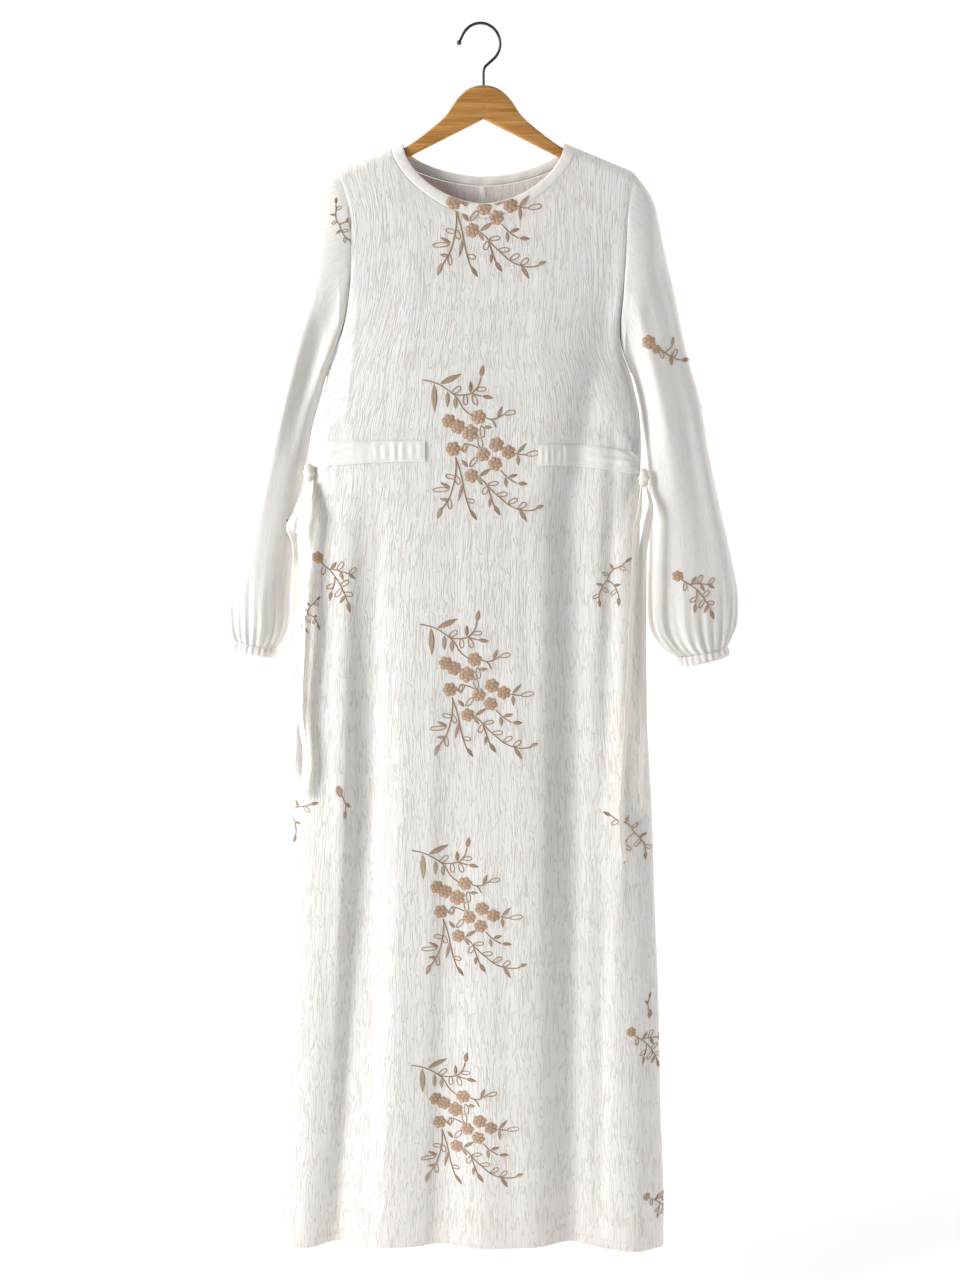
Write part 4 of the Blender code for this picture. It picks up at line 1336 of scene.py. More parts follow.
@dataclass
class Panels:
    """The front, cut in one, and the back, cut in two with a seam down its centre."""

    form: BodyForm
    finish: bpy.types.Material
    cloth: float = 0.0014
    shoulder_columns: int = 30
    neck_columns: int = 120
    skirt_rows: int = 156
    chest_rows: int = 64
    spread: float = 0.6
    level_power: float = 1.5
    climb_power: float = 1.35
    seam_dip: float = 0.0009
    seam_width: float = 0.0022

    def top_line(self, seam: NeckCurve) -> tuple[np.ndarray, np.ndarray]:
        """Walk a panel's top: shoulder, neck seam, shoulder.

        Args:
            seam: The neck seam.

        Returns:
            x and z of each column.
        """
        form = self.form
        neck_x, neck_z = seam.points(self.neck_columns)
        tip_left = float(form.outline(LEFT, form.shoulder_z(LEFT_TIP)))
        tip_right = float(form.outline(RIGHT, form.shoulder_z(RIGHT_TIP)))
        count = self.shoulder_columns + 1
        left_x = np.linspace(tip_left, -seam.half, count)[:-1]
        right_x = np.linspace(seam.half, tip_right, count)[1:]
        x = np.concatenate([left_x, neck_x, right_x])
        z = np.concatenate([form.shoulder_z(left_x), neck_z, form.shoulder_z(right_x)])
        return x, z

    def grid(self, seam: NeckCurve) -> tuple[np.ndarray, np.ndarray]:
        """Spread rows and columns over a whole front or back.

        Rows are even from hem to underarm. Above it each column climbs to the top line,
        and its place across blends to its place there with a power of its level.

        Args:
            seam: The neck seam.

        Returns:
            x and z of every point, rows from hem to shoulders.
        """
        form = self.form
        top_x, top_z = self.top_line(seam)
        even = np.linspace(-1.0, 1.0, len(top_x))
        places = self.spread * even + (1 - self.spread) * np.sin(even * math.pi / 2)
        hem = HEM_Z - HEM_SIDE_DROP * np.abs(places) ** 3
        down = np.linspace(0.0, 1.0, self.skirt_rows, endpoint=False)[:, None]
        skirt_z = hem[None, :] * (1 - down) + UNDERARM_Z * down
        level = np.linspace(0.0, 1.0, self.chest_rows)[:, None]
        level = 1.0 - (1.0 - level) ** self.climb_power
        chest_z = UNDERARM_Z + (top_z[None, :] - UNDERARM_Z) * level
        z = np.concatenate([skirt_z, chest_z])
        left = form.outline(LEFT, top_z)
        right = form.outline(RIGHT, top_z)
        top_places = (2 * top_x - left - right) / (right - left)
        blend = np.concatenate([np.zeros_like(down), level**self.level_power])
        place = places[None, :] * (1 - blend) + top_places[None, :] * blend
        left = form.outline(LEFT, z)
        right = form.outline(RIGHT, z)
        x = (left + right) / 2 + place * (right - left) / 2
        return x, z

    def skins(self, face: Face, seam: NeckCurve) -> tuple[np.ndarray, np.ndarray]:
        """The outside and inside of a whole front or back.

        Args:
            face: Front or back.
            seam: The neck seam.

        Returns:
            Outer and inner points.
        """
        x, z = self.grid(seam)
        centre = 0.0
        if face is Face.BACK:
            centre = self.seam_dip * np.exp(-((x / self.seam_width) ** 2))
        outer = self.form.place(x, z, -centre * np.ones_like(x), face)
        normals = grid_normals(outer)
        facing = np.sign((normals[..., 1] * face.value).sum())
        return outer, outer - normals * facing * self.cloth

    def build(self) -> bpy.types.Object:
        """Make the three panels.

        Returns:
            The front.
        """
        outer, inner = self.skins(Face.FRONT, FRONT_SEAM)
        front = thin_wall("dress_front", outer, inner, self.finish)
        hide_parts("front_panel")
        outer, inner = self.skins(Face.BACK, BACK_SEAM)
        middle = outer.shape[1] // 2
        for side, span, column in (
            (Side.LEFT, slice(0, middle + 1), -1),
            (Side.RIGHT, slice(middle, None), 0),
        ):
            label = side.name.lower()
            half_outer = outer[:, span].copy()
            half_inner = inner[:, span].copy()
            half_outer[:, column, 0] += side.value * SEAM_GAP / 2
            half_inner[:, column, 0] = half_outer[:, column, 0]
            back = thin_wall(f"dress_back_{label}", half_outer, half_inner, self.finish)
            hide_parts(f"back_{label}")
        return front


@dataclass(frozen=True)
class SleeveCrease:
    """A lengthwise crease of a sleeve: place runs from 0 at its outer edge to 1 inside."""

    face: Face
    place: float
    first: float
    last: float
    depth: float
    width: float


# outer point x, z; inner point x, z; half depth; hold of the armhole's shape; gather
LEFT_RINGS = (
    (-0.1930, -0.1790, -0.1905, -0.4050, 0.0190, 0.80, 0.0),
    (-0.2080, -0.1990, -0.1922, -0.4090, 0.0215, 0.60, 0.0),
    (-0.2170, -0.2280, -0.1940, -0.4140, 0.0235, 0.42, 0.0),
    (-0.2260, -0.2600, -0.1958, -0.4200, 0.0245, 0.27, 0.0),
    (-0.2410, -0.3180, -0.1995, -0.4340, 0.0250, 0.12, 0.0),
    (-0.2550, -0.3780, -0.2045, -0.4500, 0.0250, 0.04, 0.0),
    (-0.2700, -0.4380, -0.2110, -0.4740, 0.0245, 0.00, 0.0),
    (-0.2860, -0.4990, -0.2168, -0.5080, 0.0240, 0.00, 0.0),
    (-0.3015, -0.5600, -0.2275, -0.5630, 0.0240, 0.00, 0.0),
    (-0.3180, -0.6220, -0.2360, -0.6230, 0.0245, 0.00, 0.0),
    (-0.3265, -0.6740, -0.2420, -0.6760, 0.0250, 0.00, 0.0004),
    (-0.3270, -0.7080, -0.2445, -0.7130, 0.0240, 0.00, 0.0012),
    (-0.3225, -0.7270, -0.2530, -0.7360, 0.0210, 0.00, 0.0020),
    (-0.3180, -0.7350, -0.2605, -0.7470, 0.0185, 0.00, 0.0020),
)
RIGHT_RINGS = (
    (0.1930, -0.1830, 0.1800, -0.4030, 0.0190, 0.80, 0.0),
    (0.2050, -0.2030, 0.1820, -0.4065, 0.0215, 0.60, 0.0),
    (0.2120, -0.2300, 0.1840, -0.4110, 0.0235, 0.42, 0.0),
    (0.2190, -0.2600, 0.1858, -0.4165, 0.0245, 0.27, 0.0),
    (0.2340, -0.3180, 0.1892, -0.4300, 0.0250, 0.12, 0.0),
    (0.2480, -0.3780, 0.1930, -0.4480, 0.0250, 0.04, 0.0),
    (0.2660, -0.4380, 0.1965, -0.4720, 0.0245, 0.00, 0.0),
    (0.2780, -0.4990, 0.2020, -0.5060, 0.0240, 0.00, 0.0),
    (0.2920, -0.5600, 0.2065, -0.5630, 0.0240, 0.00, 0.0),
    (0.3070, -0.6200, 0.2075, -0.6240, 0.0245, 0.00, 0.0),
    (0.3180, -0.6740, 0.2065, -0.6800, 0.0250, 0.00, 0.0004),
    (0.3180, -0.7140, 0.2110, -0.7220, 0.0245, 0.00, 0.0012),
    (0.3120, -0.7350, 0.2290, -0.7480, 0.0215, 0.00, 0.0020),
    (0.3080, -0.7440, 0.2440, -0.7590, 0.0185, 0.00, 0.0020),
)
LEFT_CREASES = (
    SleeveCrease(Face.FRONT, 0.62, 1, 8, 0.0065, 0.10),
    SleeveCrease(Face.FRONT, 0.30, 5, 11, 0.0035, 0.10),
    SleeveCrease(Face.BACK, 0.50, 2, 9, 0.0060, 0.11),
    SleeveCrease(Face.BACK, 0.25, 6, 11, 0.0035, 0.09),
    SleeveCrease(Face.FRONT, 0.78, 0.5, 6, -0.0022, 0.06),
    SleeveCrease(Face.FRONT, 0.46, 3, 9.5, -0.0016, 0.05),
    SleeveCrease(Face.FRONT, 0.20, 2, 7, 0.0014, 0.06),
    SleeveCrease(Face.BACK, 0.70, 2, 8, -0.0018, 0.06),
)
RIGHT_CREASES = (
    SleeveCrease(Face.FRONT, 0.80, 1, 8, 0.0060, 0.09),
    SleeveCrease(Face.FRONT, 0.38, 5, 11, 0.0045, 0.11),
    SleeveCrease(Face.BACK, 0.55, 2, 9, 0.0060, 0.11),
    SleeveCrease(Face.BACK, 0.28, 6, 11, 0.0035, 0.09),
    SleeveCrease(Face.FRONT, 0.60, 1, 9, -0.0024, 0.07),
    SleeveCrease(Face.FRONT, 0.22, 3, 8, 0.0014, 0.06),
    SleeveCrease(Face.BACK, 0.74, 2, 8, -0.0018, 0.06),
)


@dataclass
class Sleeve:
    """A long sleeve, from its armhole to its gathered end, and the cuff under it.

    A ring is an oval between an outer and an inner point: its place along the line is
    (1 - cos(pi t)) / 2 and its half depth goes with sin(pi t) to the power 0.9. Rings
    near the armhole keep a falling share of the armhole's own shape.
    """

    form: BodyForm
    side: Side
    rings: tuple[tuple[float, ...], ...]
    creases: tuple[SleeveCrease, ...]
    finish: bpy.types.Material
    cloth: float = 0.0014
    columns: int = 144
    rows: int = 124
    waves: int = 24
    centre_y: float = 0.010
    set_back_rows: float = 6.0
    first_depth: float = 0.016
    cuff_width: float = 0.0125
    cuff_drop: float = 0.0012
    cuff_pucker: float = 0.0011
    cuff_bulge: float = 0.0009
    cuff_cloth: float = 0.0018
    crinkle: Crinkle = Crinkle(
        layers=((0.0240, 0.260, 0.00090), (0.0110, 0.120, 0.00030), (0.0060, 0.070, 0.00012))
    )

    # how many 24ths of the way round lie above each level of the armhole
    hole_steps: tuple[float, ...] = (0, 1, 2, 3, 6, 10, 14, 19, 24)
    hole_levels: tuple[float, ...] = (1, 0.984, 0.94, 0.86, 0.74, 0.58, 0.40, 0.20, 0)

    def __post_init__(self) -> None:
        """Read the ends of the armhole once, since every ring starts from them."""
        left = self.side is Side.LEFT
        self.column = LEFT if left else RIGHT
        shoulder = self.form.shoulder_z(LEFT_TIP if left else RIGHT_TIP)
        tip = float(self.form.outline(self.column, shoulder))
        self.top_z = float(self.form.shoulder_z(tip))
        ends = self.armhole(np.array([0.0, 1.0]), np.array([-1.0, -1.0]))
        self.hole_top = ends[0]
        self.hole_low = ends[1]
        start = (ends[0, 0], ends[0, 2], ends[1, 0], ends[1, 2], self.first_depth, 1.0, 0.0)
        self.table = np.array((start, *self.rings))

    def armhole(self, place: np.ndarray, way: np.ndarray) -> np.ndarray:
        """Points on the armhole, on the edges of front and back.

        Args:
            place: From 0 at the shoulder to 1 at the underarm.
            way: -1 on the front, 1 on the back.

        Returns:
            Points in metres.
        """
        level = np.interp(place * self.hole_steps[-1], self.hole_steps, self.hole_levels)
        z = UNDERARM_Z + (self.top_z - UNDERARM_Z) * level
        x = self.form.outline(self.column, z)
        front = self.form.plain(x, z, Face.FRONT)
        back = self.form.plain(x, z, Face.BACK)
        points = np.where((way < 0)[..., None], front, back)
        ends = (place <= 0.0) | (place >= 1.0)
        points[..., 1] = np.where(ends, (front[..., 1] + back[..., 1]) / 2, points[..., 1])
        points[..., 0] += self.side.value * 1.2 * SEAM_GAP
        return points

    @staticmethod
    def around(turn: np.ndarray) -> tuple[np.ndarray, np.ndarray]:
        """Split a way round into a place on a face and the face's direction.

        Args:
            turn: From 0 at the outer edge, down the front to 0.5, and back up to 1.

        Returns:
            Place from 0 to 1, and -1 on the front or 1 on the back.
        """
        turn = turn % 1.0
        place = np.where(turn <= 0.5, 2 * turn, 2 - 2 * turn)
        return place, np.where(turn <= 0.5, -1.0, 1.0)

    def oval(self, row: np.ndarray, place: np.ndarray, way: np.ndarray) -> np.ndarray:
        """Points of the plain ovals.

        Args:
            row: Place along the sleeve, in rings.
            place: Place across a face.
            way: -1 on the front, 1 on the back.

        Returns:
            Points in metres.
        """
        values = cubic_through(np.arange(len(self.table), dtype=float), self.table, row)
        share = (1.0 - np.cos(math.pi * place)) / 2
        hold = values[..., 5]
        x = values[..., 0] + (values[..., 2] - values[..., 0]) * share
        z = values[..., 1] + (values[..., 3] - values[..., 1]) * share
        swell = np.clip(np.sin(math.pi * place), 0.0, None) ** 0.9
        y = self.centre_y * smoothstep(row / self.set_back_rows) + way * values[..., 4] * swell
        points = np.stack([x, y, z], axis=-1)
        first_x = self.hole_top[0] + (self.hole_low[0] - self.hole_top[0]) * share
        first_z = self.hole_top[2] + (self.hole_low[2] - self.hole_top[2]) * share
        first = np.stack([first_x, way * self.first_depth * swell, first_z], axis=-1)
        return points + hold[..., None] * (self.armhole(place, way) - first)

    def base(self, row: np.ndarray, turn: np.ndarray) -> np.ndarray:
        """Points of the sleeve with its main creases pressed in.

        Args:
            row: Place along the sleeve, in rings.
            turn: Way round, from 0 to 1.

        Returns:
            Points in metres.
        """
        place, way = self.around(turn)
        points = self.oval(row, place, way)
        for crease in self.creases:
            along = np.clip((row - crease.first) / (crease.last - crease.first), 0.0, 1.0)
            strength = np.clip(np.sin(math.pi * along), 0.0, 1.0) ** 0.6
            shape = np.exp(-(((place - crease.place) / crease.width) ** 2))
            on_face = way == crease.face.value
            points[..., 1] -= way * on_face * strength * crease.depth * shape
        return points

    def relief(self, row: np.ndarray, turn: np.ndarray) -> np.ndarray:
        """Crinkle, the elastic's waves, the fans above them and the armhole's dip.

        Args:
            row: Place along the sleeve, in rings.
            turn: Way round, from 0 to 1.

        Returns:
            Height over the base, in metres.
        """
        last = len(self.table) - 1
        gather = cubic_through(np.arange(last + 1, dtype=float), self.table, row)[..., 6]
        uneven = 0.75 + 0.35 * soft_noise(turn * self.waves, row * 0, 5.0)
        phase = 2 * math.pi * self.waves * turn + 0.7 * soft_noise(turn * 9, row * 0, 3.0)
        total = np.clip(gather, 0.0, None) * uneven * np.cos(phase)
        fan = smoothstep((row - 9.2) / 3.2) * (1.0 - 0.5 * smoothstep((row - 12.0) / 2.0))
        folds = soft_noise(turn * 15 + 0.15 * row, row * 0.35, 9.0)
        total = total + 0.0024 * fan * folds
        wide = smoothstep(row / 1.2) * (1.0 - 0.7 * smoothstep((row - 11.0) / 3.0))
        total = total + wide * self.crinkle.relief(turn * 0.20, row * 0.042, 61.0)
        pucker = soft_noise(turn * 46, row * 2.0, 77.0) * np.exp(-row / 0.45)
        total = total + 0.0007 * pucker * smoothstep(row / 0.12)
        return total - 0.0006 * np.exp(-((row / 0.16) ** 2))

    def place(self, row: np.ndarray, turn: np.ndarray, lift: np.ndarray) -> np.ndarray:
        """Points on the finished sleeve, moved outwards.

        Args:
            row: Place along the sleeve, in rings.
            turn: Way round, from 0 to 1.
            lift: Distance out from the cloth.

        Returns:
            Points in metres.
        """
        h = 0.02
        t = 0.002
        low = np.maximum(row - h, 0.0)
        high = np.minimum(row + h, len(self.table) - 1.0)
        down = self.base(high, turn) - self.base(low, turn)
        round_ = self.base(row, turn + t) - self.base(row, turn - t)
        normal = np.cross(round_, down) * self.side.value
        normal /= np.maximum(np.linalg.norm(normal, axis=-1, keepdims=True), 1e-12)
        out = self.relief(row, turn) + lift
        return self.base(row, turn) + normal * out[..., None]

    def find(self, x: np.ndarray, z: np.ndarray, face: Face) -> tuple[np.ndarray, np.ndarray]:
        """Row and turn of the points of one face that show at x and z.

        Newton's method on the base surface, from a start taken off the ring table.

        Args:
            x: Places across.
            z: Heights.
            face: Front or back.

        Returns:
            Row and turn of each point.
        """
        middle = (self.table[:, 1] + self.table[:, 3]) / 2
        row = np.interp(-z, -middle, np.arange(len(middle), dtype=float))
        place = np.full_like(row, 0.5)
        h = 0.01
        for _ in range(14):
            turn = place / 2 if face is Face.FRONT else 1 - place / 2
            step = h / 2 if face is Face.FRONT else -h / 2
            here = self.base(row, turn)
            by_row = (self.base(row + h, turn) - here) / h
            by_place = (self.base(row, turn + step) - here) / h
            miss_x = x - here[..., 0]
            miss_z = z - here[..., 2]
            det = by_row[..., 0] * by_place[..., 2] - by_row[..., 2] * by_place[..., 0]
            det = np.where(np.abs(det) < 1e-9, 1e-9, det)
            d_row = (miss_x * by_place[..., 2] - miss_z * by_place[..., 0]) / det
            d_place = (by_row[..., 0] * miss_z - by_row[..., 2] * miss_x) / det
            row = np.clip(row + np.clip(d_row, -0.8, 0.8), 0.05, len(middle) - 1.1)
            place = np.clip(place + np.clip(d_place, -0.2, 0.2), 0.02, 0.98)
        return row, place / 2 if face is Face.FRONT else 1 - place / 2

    def build(self) -> None:
        """Make the sleeve and its cuff."""
        label = self.side.name.lower()
        last = len(self.table) - 1
        rows = np.linspace(0.0, 1.0, self.rows)
        rows = last * (0.85 * rows + 0.15 * rows**2)
        turns = np.arange(self.columns) / self.columns
        row, turn = np.meshgrid(rows, turns, indexing="ij")
        outer = self.place(row, turn, np.zeros_like(row))
        normals = grid_normals(outer, closed=True)
        middle = outer.mean(axis=1, keepdims=True)
        normals *= np.sign(((outer - middle) * normals).sum())
        inner = outer - normals * self.cloth
        sleeve = thin_wall(f"dress_sleeve_{label}", outer, inner, self.finish, closed=True)
        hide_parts(f"sleeve_{label}")
        self.cuff(turns, float(last))

    def cuff(self, turns: np.ndarray, last: float) -> None:
        """Make the narrow gathered casing: two rows of stitching, a soft roll between.

        Args:
            turns: Ways round.
            last: The last ring's number.
        """
        label = self.side.name.lower()
        end = self.base(np.full_like(turns, last), turns)
        long_way = end[0] - end[len(end) // 2]
        down = np.array([long_way[2], 0.0, -long_way[0]])
        down /= np.linalg.norm(down)
        down *= -np.sign(down[2])
        centre = end.mean(axis=0)
        flat = end - centre
        flat -= np.outer(flat @ down, down)
        tangent = np.roll(end, -1, axis=0) - np.roll(end, 1, axis=0)
        normal = np.cross(tangent, down)
        normal *= np.sign((normal * flat).sum())
        normal /= np.linalg.norm(normal, axis=-1, keepdims=True)
        share = np.linspace(0.0, 1.0, 11)[:, None]
        rounding = 1.0 - (2 * share - 1) ** 6
        phase = 2 * math.pi * self.waves * turns
        uneven = 0.7 + 0.5 * soft_noise(turns * self.waves, turns * 0, 5.0)
        wave = (np.cos(phase) * uneven)[None, :] * self.cuff_pucker
        out = self.cuff_bulge * np.sin(math.pi * share) + wave * (0.55 + 0.45 * rounding)
        stitched = np.exp(-(((share - 0.16) / 0.07) ** 2)) + np.exp(-(((share - 0.86) / 0.07) ** 2))
        out = out - 0.0006 * stitched - 0.0008 * (1 - rounding)
        spot = end[None] + down * (self.cuff_drop + self.cuff_width * share[..., None])
        outer = spot + normal[None] * out[..., None]
        inner = spot - normal[None] * self.cuff_cloth
        piece = thin_wall(f"dress_cuff_{label}", outer, inner, self.finish, closed=True)
        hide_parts(f"cuff_{label}")


@dataclass
class Neckband:
    """The band round the neck: a folded strip from the neck seam in to its free edge."""

    form: BodyForm
    finish: bpy.types.Material
    cloth: float = 0.0018
    columns: int = 240
    rows: int = 13
    roll: float = 0.0007
    puckers: int = 10
    pucker_height: float = 0.0009

    def build_face(self, face: Face, seam: NeckCurve, edge: NeckCurve) -> None:
        """Make the front or the back of the band.

        Args:
            face: Front or back.
            seam: Where it joins the dress.
            edge: Its free edge.
        """
        seam_x, seam_z = seam.points(self.columns)
        edge_x, edge_z = edge.points(self.columns)
        share = np.linspace(0.0, 1.0, self.rows)[:, None]
        inset = 0.03 + 0.97 * share
        x = seam_x * (1 - inset) + edge_x * inset
        z = seam_z * (1 - inset) + edge_z * inset
        plain = self.form.plain(x, z, face)
        normals = self.form.normals(x, z, face)
        for end in (0, -1):
            plain[:, end, 1] = plain[0, end, 1]
            normals[:, end] = normals[:, end] * (1.0, 0.0, 1.0)
        normals /= np.linalg.norm(normals, axis=-1, keepdims=True)
        body = 1.0 - (2 * share - 1) ** 8
        turn = np.linspace(0.0, 2 * math.pi, self.columns + 1)
        fades = np.sin(turn / 2)[None, :] ** 0.3
        height = self.roll * np.sin(math.pi * share) - 0.0007 * (1 - body)
        if face is Face.BACK:
            wave = (1 - np.cos(self.puckers * turn + 0.5 * np.sin(3 * turn))) / 2
            height = height + self.pucker_height * wave[None, :] * np.sin(math.pi * share)
        else:
            ripple = soft_noise(turn[None, :] * 9, share * 1.5, 31.0)
            height = height + 0.0003 * ripple * np.sin(math.pi * share)
        outer = plain + normals * (height * fades)[..., None]
        inner = plain - normals * (self.cloth - 0.0005 * (1 - body))[..., None]
        if face is Face.BACK:
            inner = inner - normals * (height * fades * 0.8)[..., None]
        label = face.name.lower()
        piece = thin_wall(f"dress_neckband_{label}", outer, inner, self.finish)
        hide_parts(f"neckband_{label}")

    def build(self) -> None:
        """Make both faces of the band."""
        self.build_face(Face.FRONT, FRONT_SEAM, FRONT_EDGE)
        self.build_face(Face.BACK, BACK_SEAM, BACK_EDGE)


@dataclass(frozen=True)
class WaistBand:
    """A strip stitched flat on the front, puckered towards its inner end."""

    side: Side
    x_side: float
    x_inner: float
    top_side: float
    top_inner: float
    low_side: float
    low_inner: float
    puckers: int
    columns: int = 150
    rows: int = 17
    cloth: float = 0.0012
    laid: float = 0.0006
    pucker: float = 0.0013
    puckered_share: float = 0.48
    stitch_inset: float = 0.0022

    def lines(self, along: np.ndarray) -> tuple[np.ndarray, np.ndarray, np.ndarray]:
        """The band's path: level from its inner end, dropping to the side as a square.

        Args:
            along: From 0 at the side seam to 1 at the inner end.

        Returns:
            x, and z of its top and lower edges.
        """
        ease = (1 - along) ** 2
        x = self.x_side + (self.x_inner - self.x_side) * along
        top = self.top_inner + (self.top_side - self.top_inner) * ease
        low = self.low_inner + (self.low_side - self.low_inner) * ease
        return x, top, low

    def build(self, form: BodyForm, finish: bpy.types.Material) -> None:
        """Make the band.

        Args:
            form: The surface it lies on.
            finish: Its cloth.
        """
        along = np.linspace(0.0, 1.0, self.columns + 1)[None, :]
        share = np.linspace(0.0, 1.0, self.rows)[:, None]
        x, top, low = self.lines(along)
        z = low * (1 - share) + top * share
        x = np.repeat(x, self.rows, axis=0)
        start = 1 - self.puckered_share
        within = np.clip((along - start) / self.puckered_share, 0.0, 1.0)
        uneven = 0.65 + 0.5 * soft_noise(within * self.puckers, along * 0, 15.0 + self.side.value)
        wave = (1 - np.cos(2 * math.pi * self.puckers * within)) / 2 * uneven
        lean = soft_noise(within * self.puckers + share, share * 2.0, 25.0)
        swell = np.sin(math.pi * share) ** 0.8
        height = self.pucker * wave * swell + 0.0004 * lean * swell * (within > 0)
        dimples = soft_noise(along * 9, share * 2.2, 35.0) * np.exp(-along / 0.22)
        height = height + 0.0010 * dimples * swell + 0.0004 * swell
        border = np.minimum(share, 1 - share) * (top - low)
        stitched = np.exp(-(((border - self.stitch_inset) / 0.0009) ** 2))
        height = height - 0.0004 * stitched
        rounding = smoothstep(border / 0.0011)
        height = height - 0.0006 * (1 - rounding)
        zero = np.zeros_like(x)
        laid = form.place(x, z, zero + self.laid, Face.FRONT)
        outer = form.place(x, z, self.laid + self.cloth + height, Face.FRONT)
        label = self.side.name.lower()
        piece = thin_wall(f"dress_waist_band_{label}", outer, laid, finish)
        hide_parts(f"waist_band_{label}")


LEFT_BAND = WaistBand(
    Side.LEFT, -0.2065, -0.0709, -0.4870, -0.4840, -0.5180, -0.5090, 6
)
RIGHT_BAND = WaistBand(
    Side.RIGHT, 0.1900, 0.0666, -0.5000, -0.4880, -0.5270, -0.5140, 5, puckered_share=0.30
)


@dataclass(frozen=True)
class Tie:
    """A narrow folded strip that hangs from a knot.

    Each row of the route is x, y, z and the turn of the strip's width from the X axis.
    """

    node: str
    route: tuple[tuple[float, float, float, float], ...]
    width: float = 0.0100
    cloth: float = 0.0013
    sections: int = 130

    def build(self, finish: bpy.types.Material) -> None:
        """Sweep a flat, softly rounded section along the route.

        Args:
            finish: Its cloth.
        """
        path = smooth_path(np.array(self.route), self.sections)
        centre = path[:, :3]
        turn = np.radians(path[:, 3])
        steps = np.linalg.norm(np.diff(centre, axis=0), axis=-1)
        length = np.concatenate([[0.0], np.cumsum(steps)])
        along = np.gradient(centre, axis=0)
        along /= np.linalg.norm(along, axis=-1, keepdims=True)
        wide = np.stack([np.cos(turn), -np.sin(turn), np.zeros_like(turn)], axis=-1)
        wide -= along * (wide * along).sum(axis=-1, keepdims=True)
        wide /= np.linalg.norm(wide, axis=-1, keepdims=True)
        thick = np.cross(along, wide)
        side = np.linspace(-1.0, 1.0, 9)
        skew = soft_noise(length / 0.030, length * 0, len(self.node) * 1.7)
        seam = np.exp(-(((side - 0.72) / 0.16) ** 2))
        wave = 0.0007 * soft_noise(length[:, None] / 0.012, side[None, :] * 1.2, 8.0)
        cup = 0.0007 * skew[:, None] * (side**2)[None, :] + wave
        half = self.cloth / 2 * (1 - 0.55 * side**8)[None, :]
        half = half - 0.00022 * seam[None, :]
        across = wide[:, None] * (side * self.width / 2)[None, :, None]
        front = centre[:, None] + across + thick[:, None] * (cup + half)[..., None]
        back = centre[:, None] + across + thick[:, None] * (cup - half)[..., None]
        sections = np.concatenate([front, back[:, ::-1]], axis=1)
        piece = loft(f"dress_{self.node}", sections, finish, sharp=80.0)
        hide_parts(self.node)


TIES = (
    Tie(
        "tie_left_outer",
        (
            (-0.2175, -0.0090, -0.5355, 75.0),
            (-0.2225, -0.0165, -0.5520, 60.0),
            (-0.2290, -0.0210, -0.5720, 35.0),
            (-0.2370, -0.0230, -0.5900, 20.0),
            (-0.2300, -0.0240, -0.6120, -25.0),
            (-0.2300, -0.0225, -0.6600, 5.0),
            (-0.2340, -0.0215, -0.7250, 12.0),
            (-0.2385, -0.0205, -0.7850, 25.0),
            (-0.2415, -0.0200, -0.8250, 55.0),
            (-0.2460, -0.0185, -0.8650, 60.0),
            (-0.2500, -0.0180, -0.9040, 50.0),
        ),
    ),
    Tie(
        "tie_left_inner",
        (
            (-0.2110, -0.0110, -0.5356, 75.0),
            (-0.2125, -0.0185, -0.5520, 65.0),
            (-0.2155, -0.0250, -0.5680, 55.0),
            (-0.2190, -0.0270, -0.5900, 50.0),
            (-0.2250, -0.0290, -0.6060, 40.0),
            (-0.2235, -0.0285, -0.6400, 60.0),
            (-0.2215, -0.0280, -0.7150, 70.0),
            (-0.2270, -0.0270, -0.7950, 60.0),
            (-0.2285, -0.0265, -0.8300, 45.0),
            (-0.2240, -0.0270, -0.8850, 60.0),
            (-0.2320, -0.0260, -0.9290, 55.0),
        ),
    ),
    Tie(
        "tie_right_inner",
        (
            (0.1942, -0.0110, -0.5417, -75.0),
            (0.1920, -0.0185, -0.5580, -65.0),
            (0.1900, -0.0250, -0.5740, -55.0),
            (0.1865, -0.0265, -0.6000, -50.0),
            (0.1850, -0.0275, -0.6500, -60.0),
            (0.1830, -0.0280, -0.7300, -55.0),
            (0.1800, -0.0290, -0.8200, -50.0),
            (0.1760, -0.0300, -0.9100, -55.0),
            (0.1735, -0.0310, -0.9500, -60.0),
            (0.1765, -0.0310, -0.9850, -50.0),
            (0.1790, -0.0310, -1.0180, -45.0),
        ),
    ),
    Tie(
        "tie_right_outer",
        (
            (0.2002, -0.0090, -0.5420, -75.0),
            (0.2040, -0.0165, -0.5580, -60.0),
            (0.2040, -0.0205, -0.5720, -35.0),
            (0.2010, -0.0230, -0.5900, -20.0),
            (0.1965, -0.0235, -0.6250, 8.0),
            (0.1970, -0.0230, -0.6900, 4.0),
            (0.1985, -0.0225, -0.7700, -6.0),
            (0.2010, -0.0220, -0.8300, -35.0),
            (0.2000, -0.0225, -0.8900, -50.0),
            (0.2005, -0.0225, -0.9250, -45.0),
            (0.2065, -0.0215, -0.9530, -40.0),
        ),
    ),
)


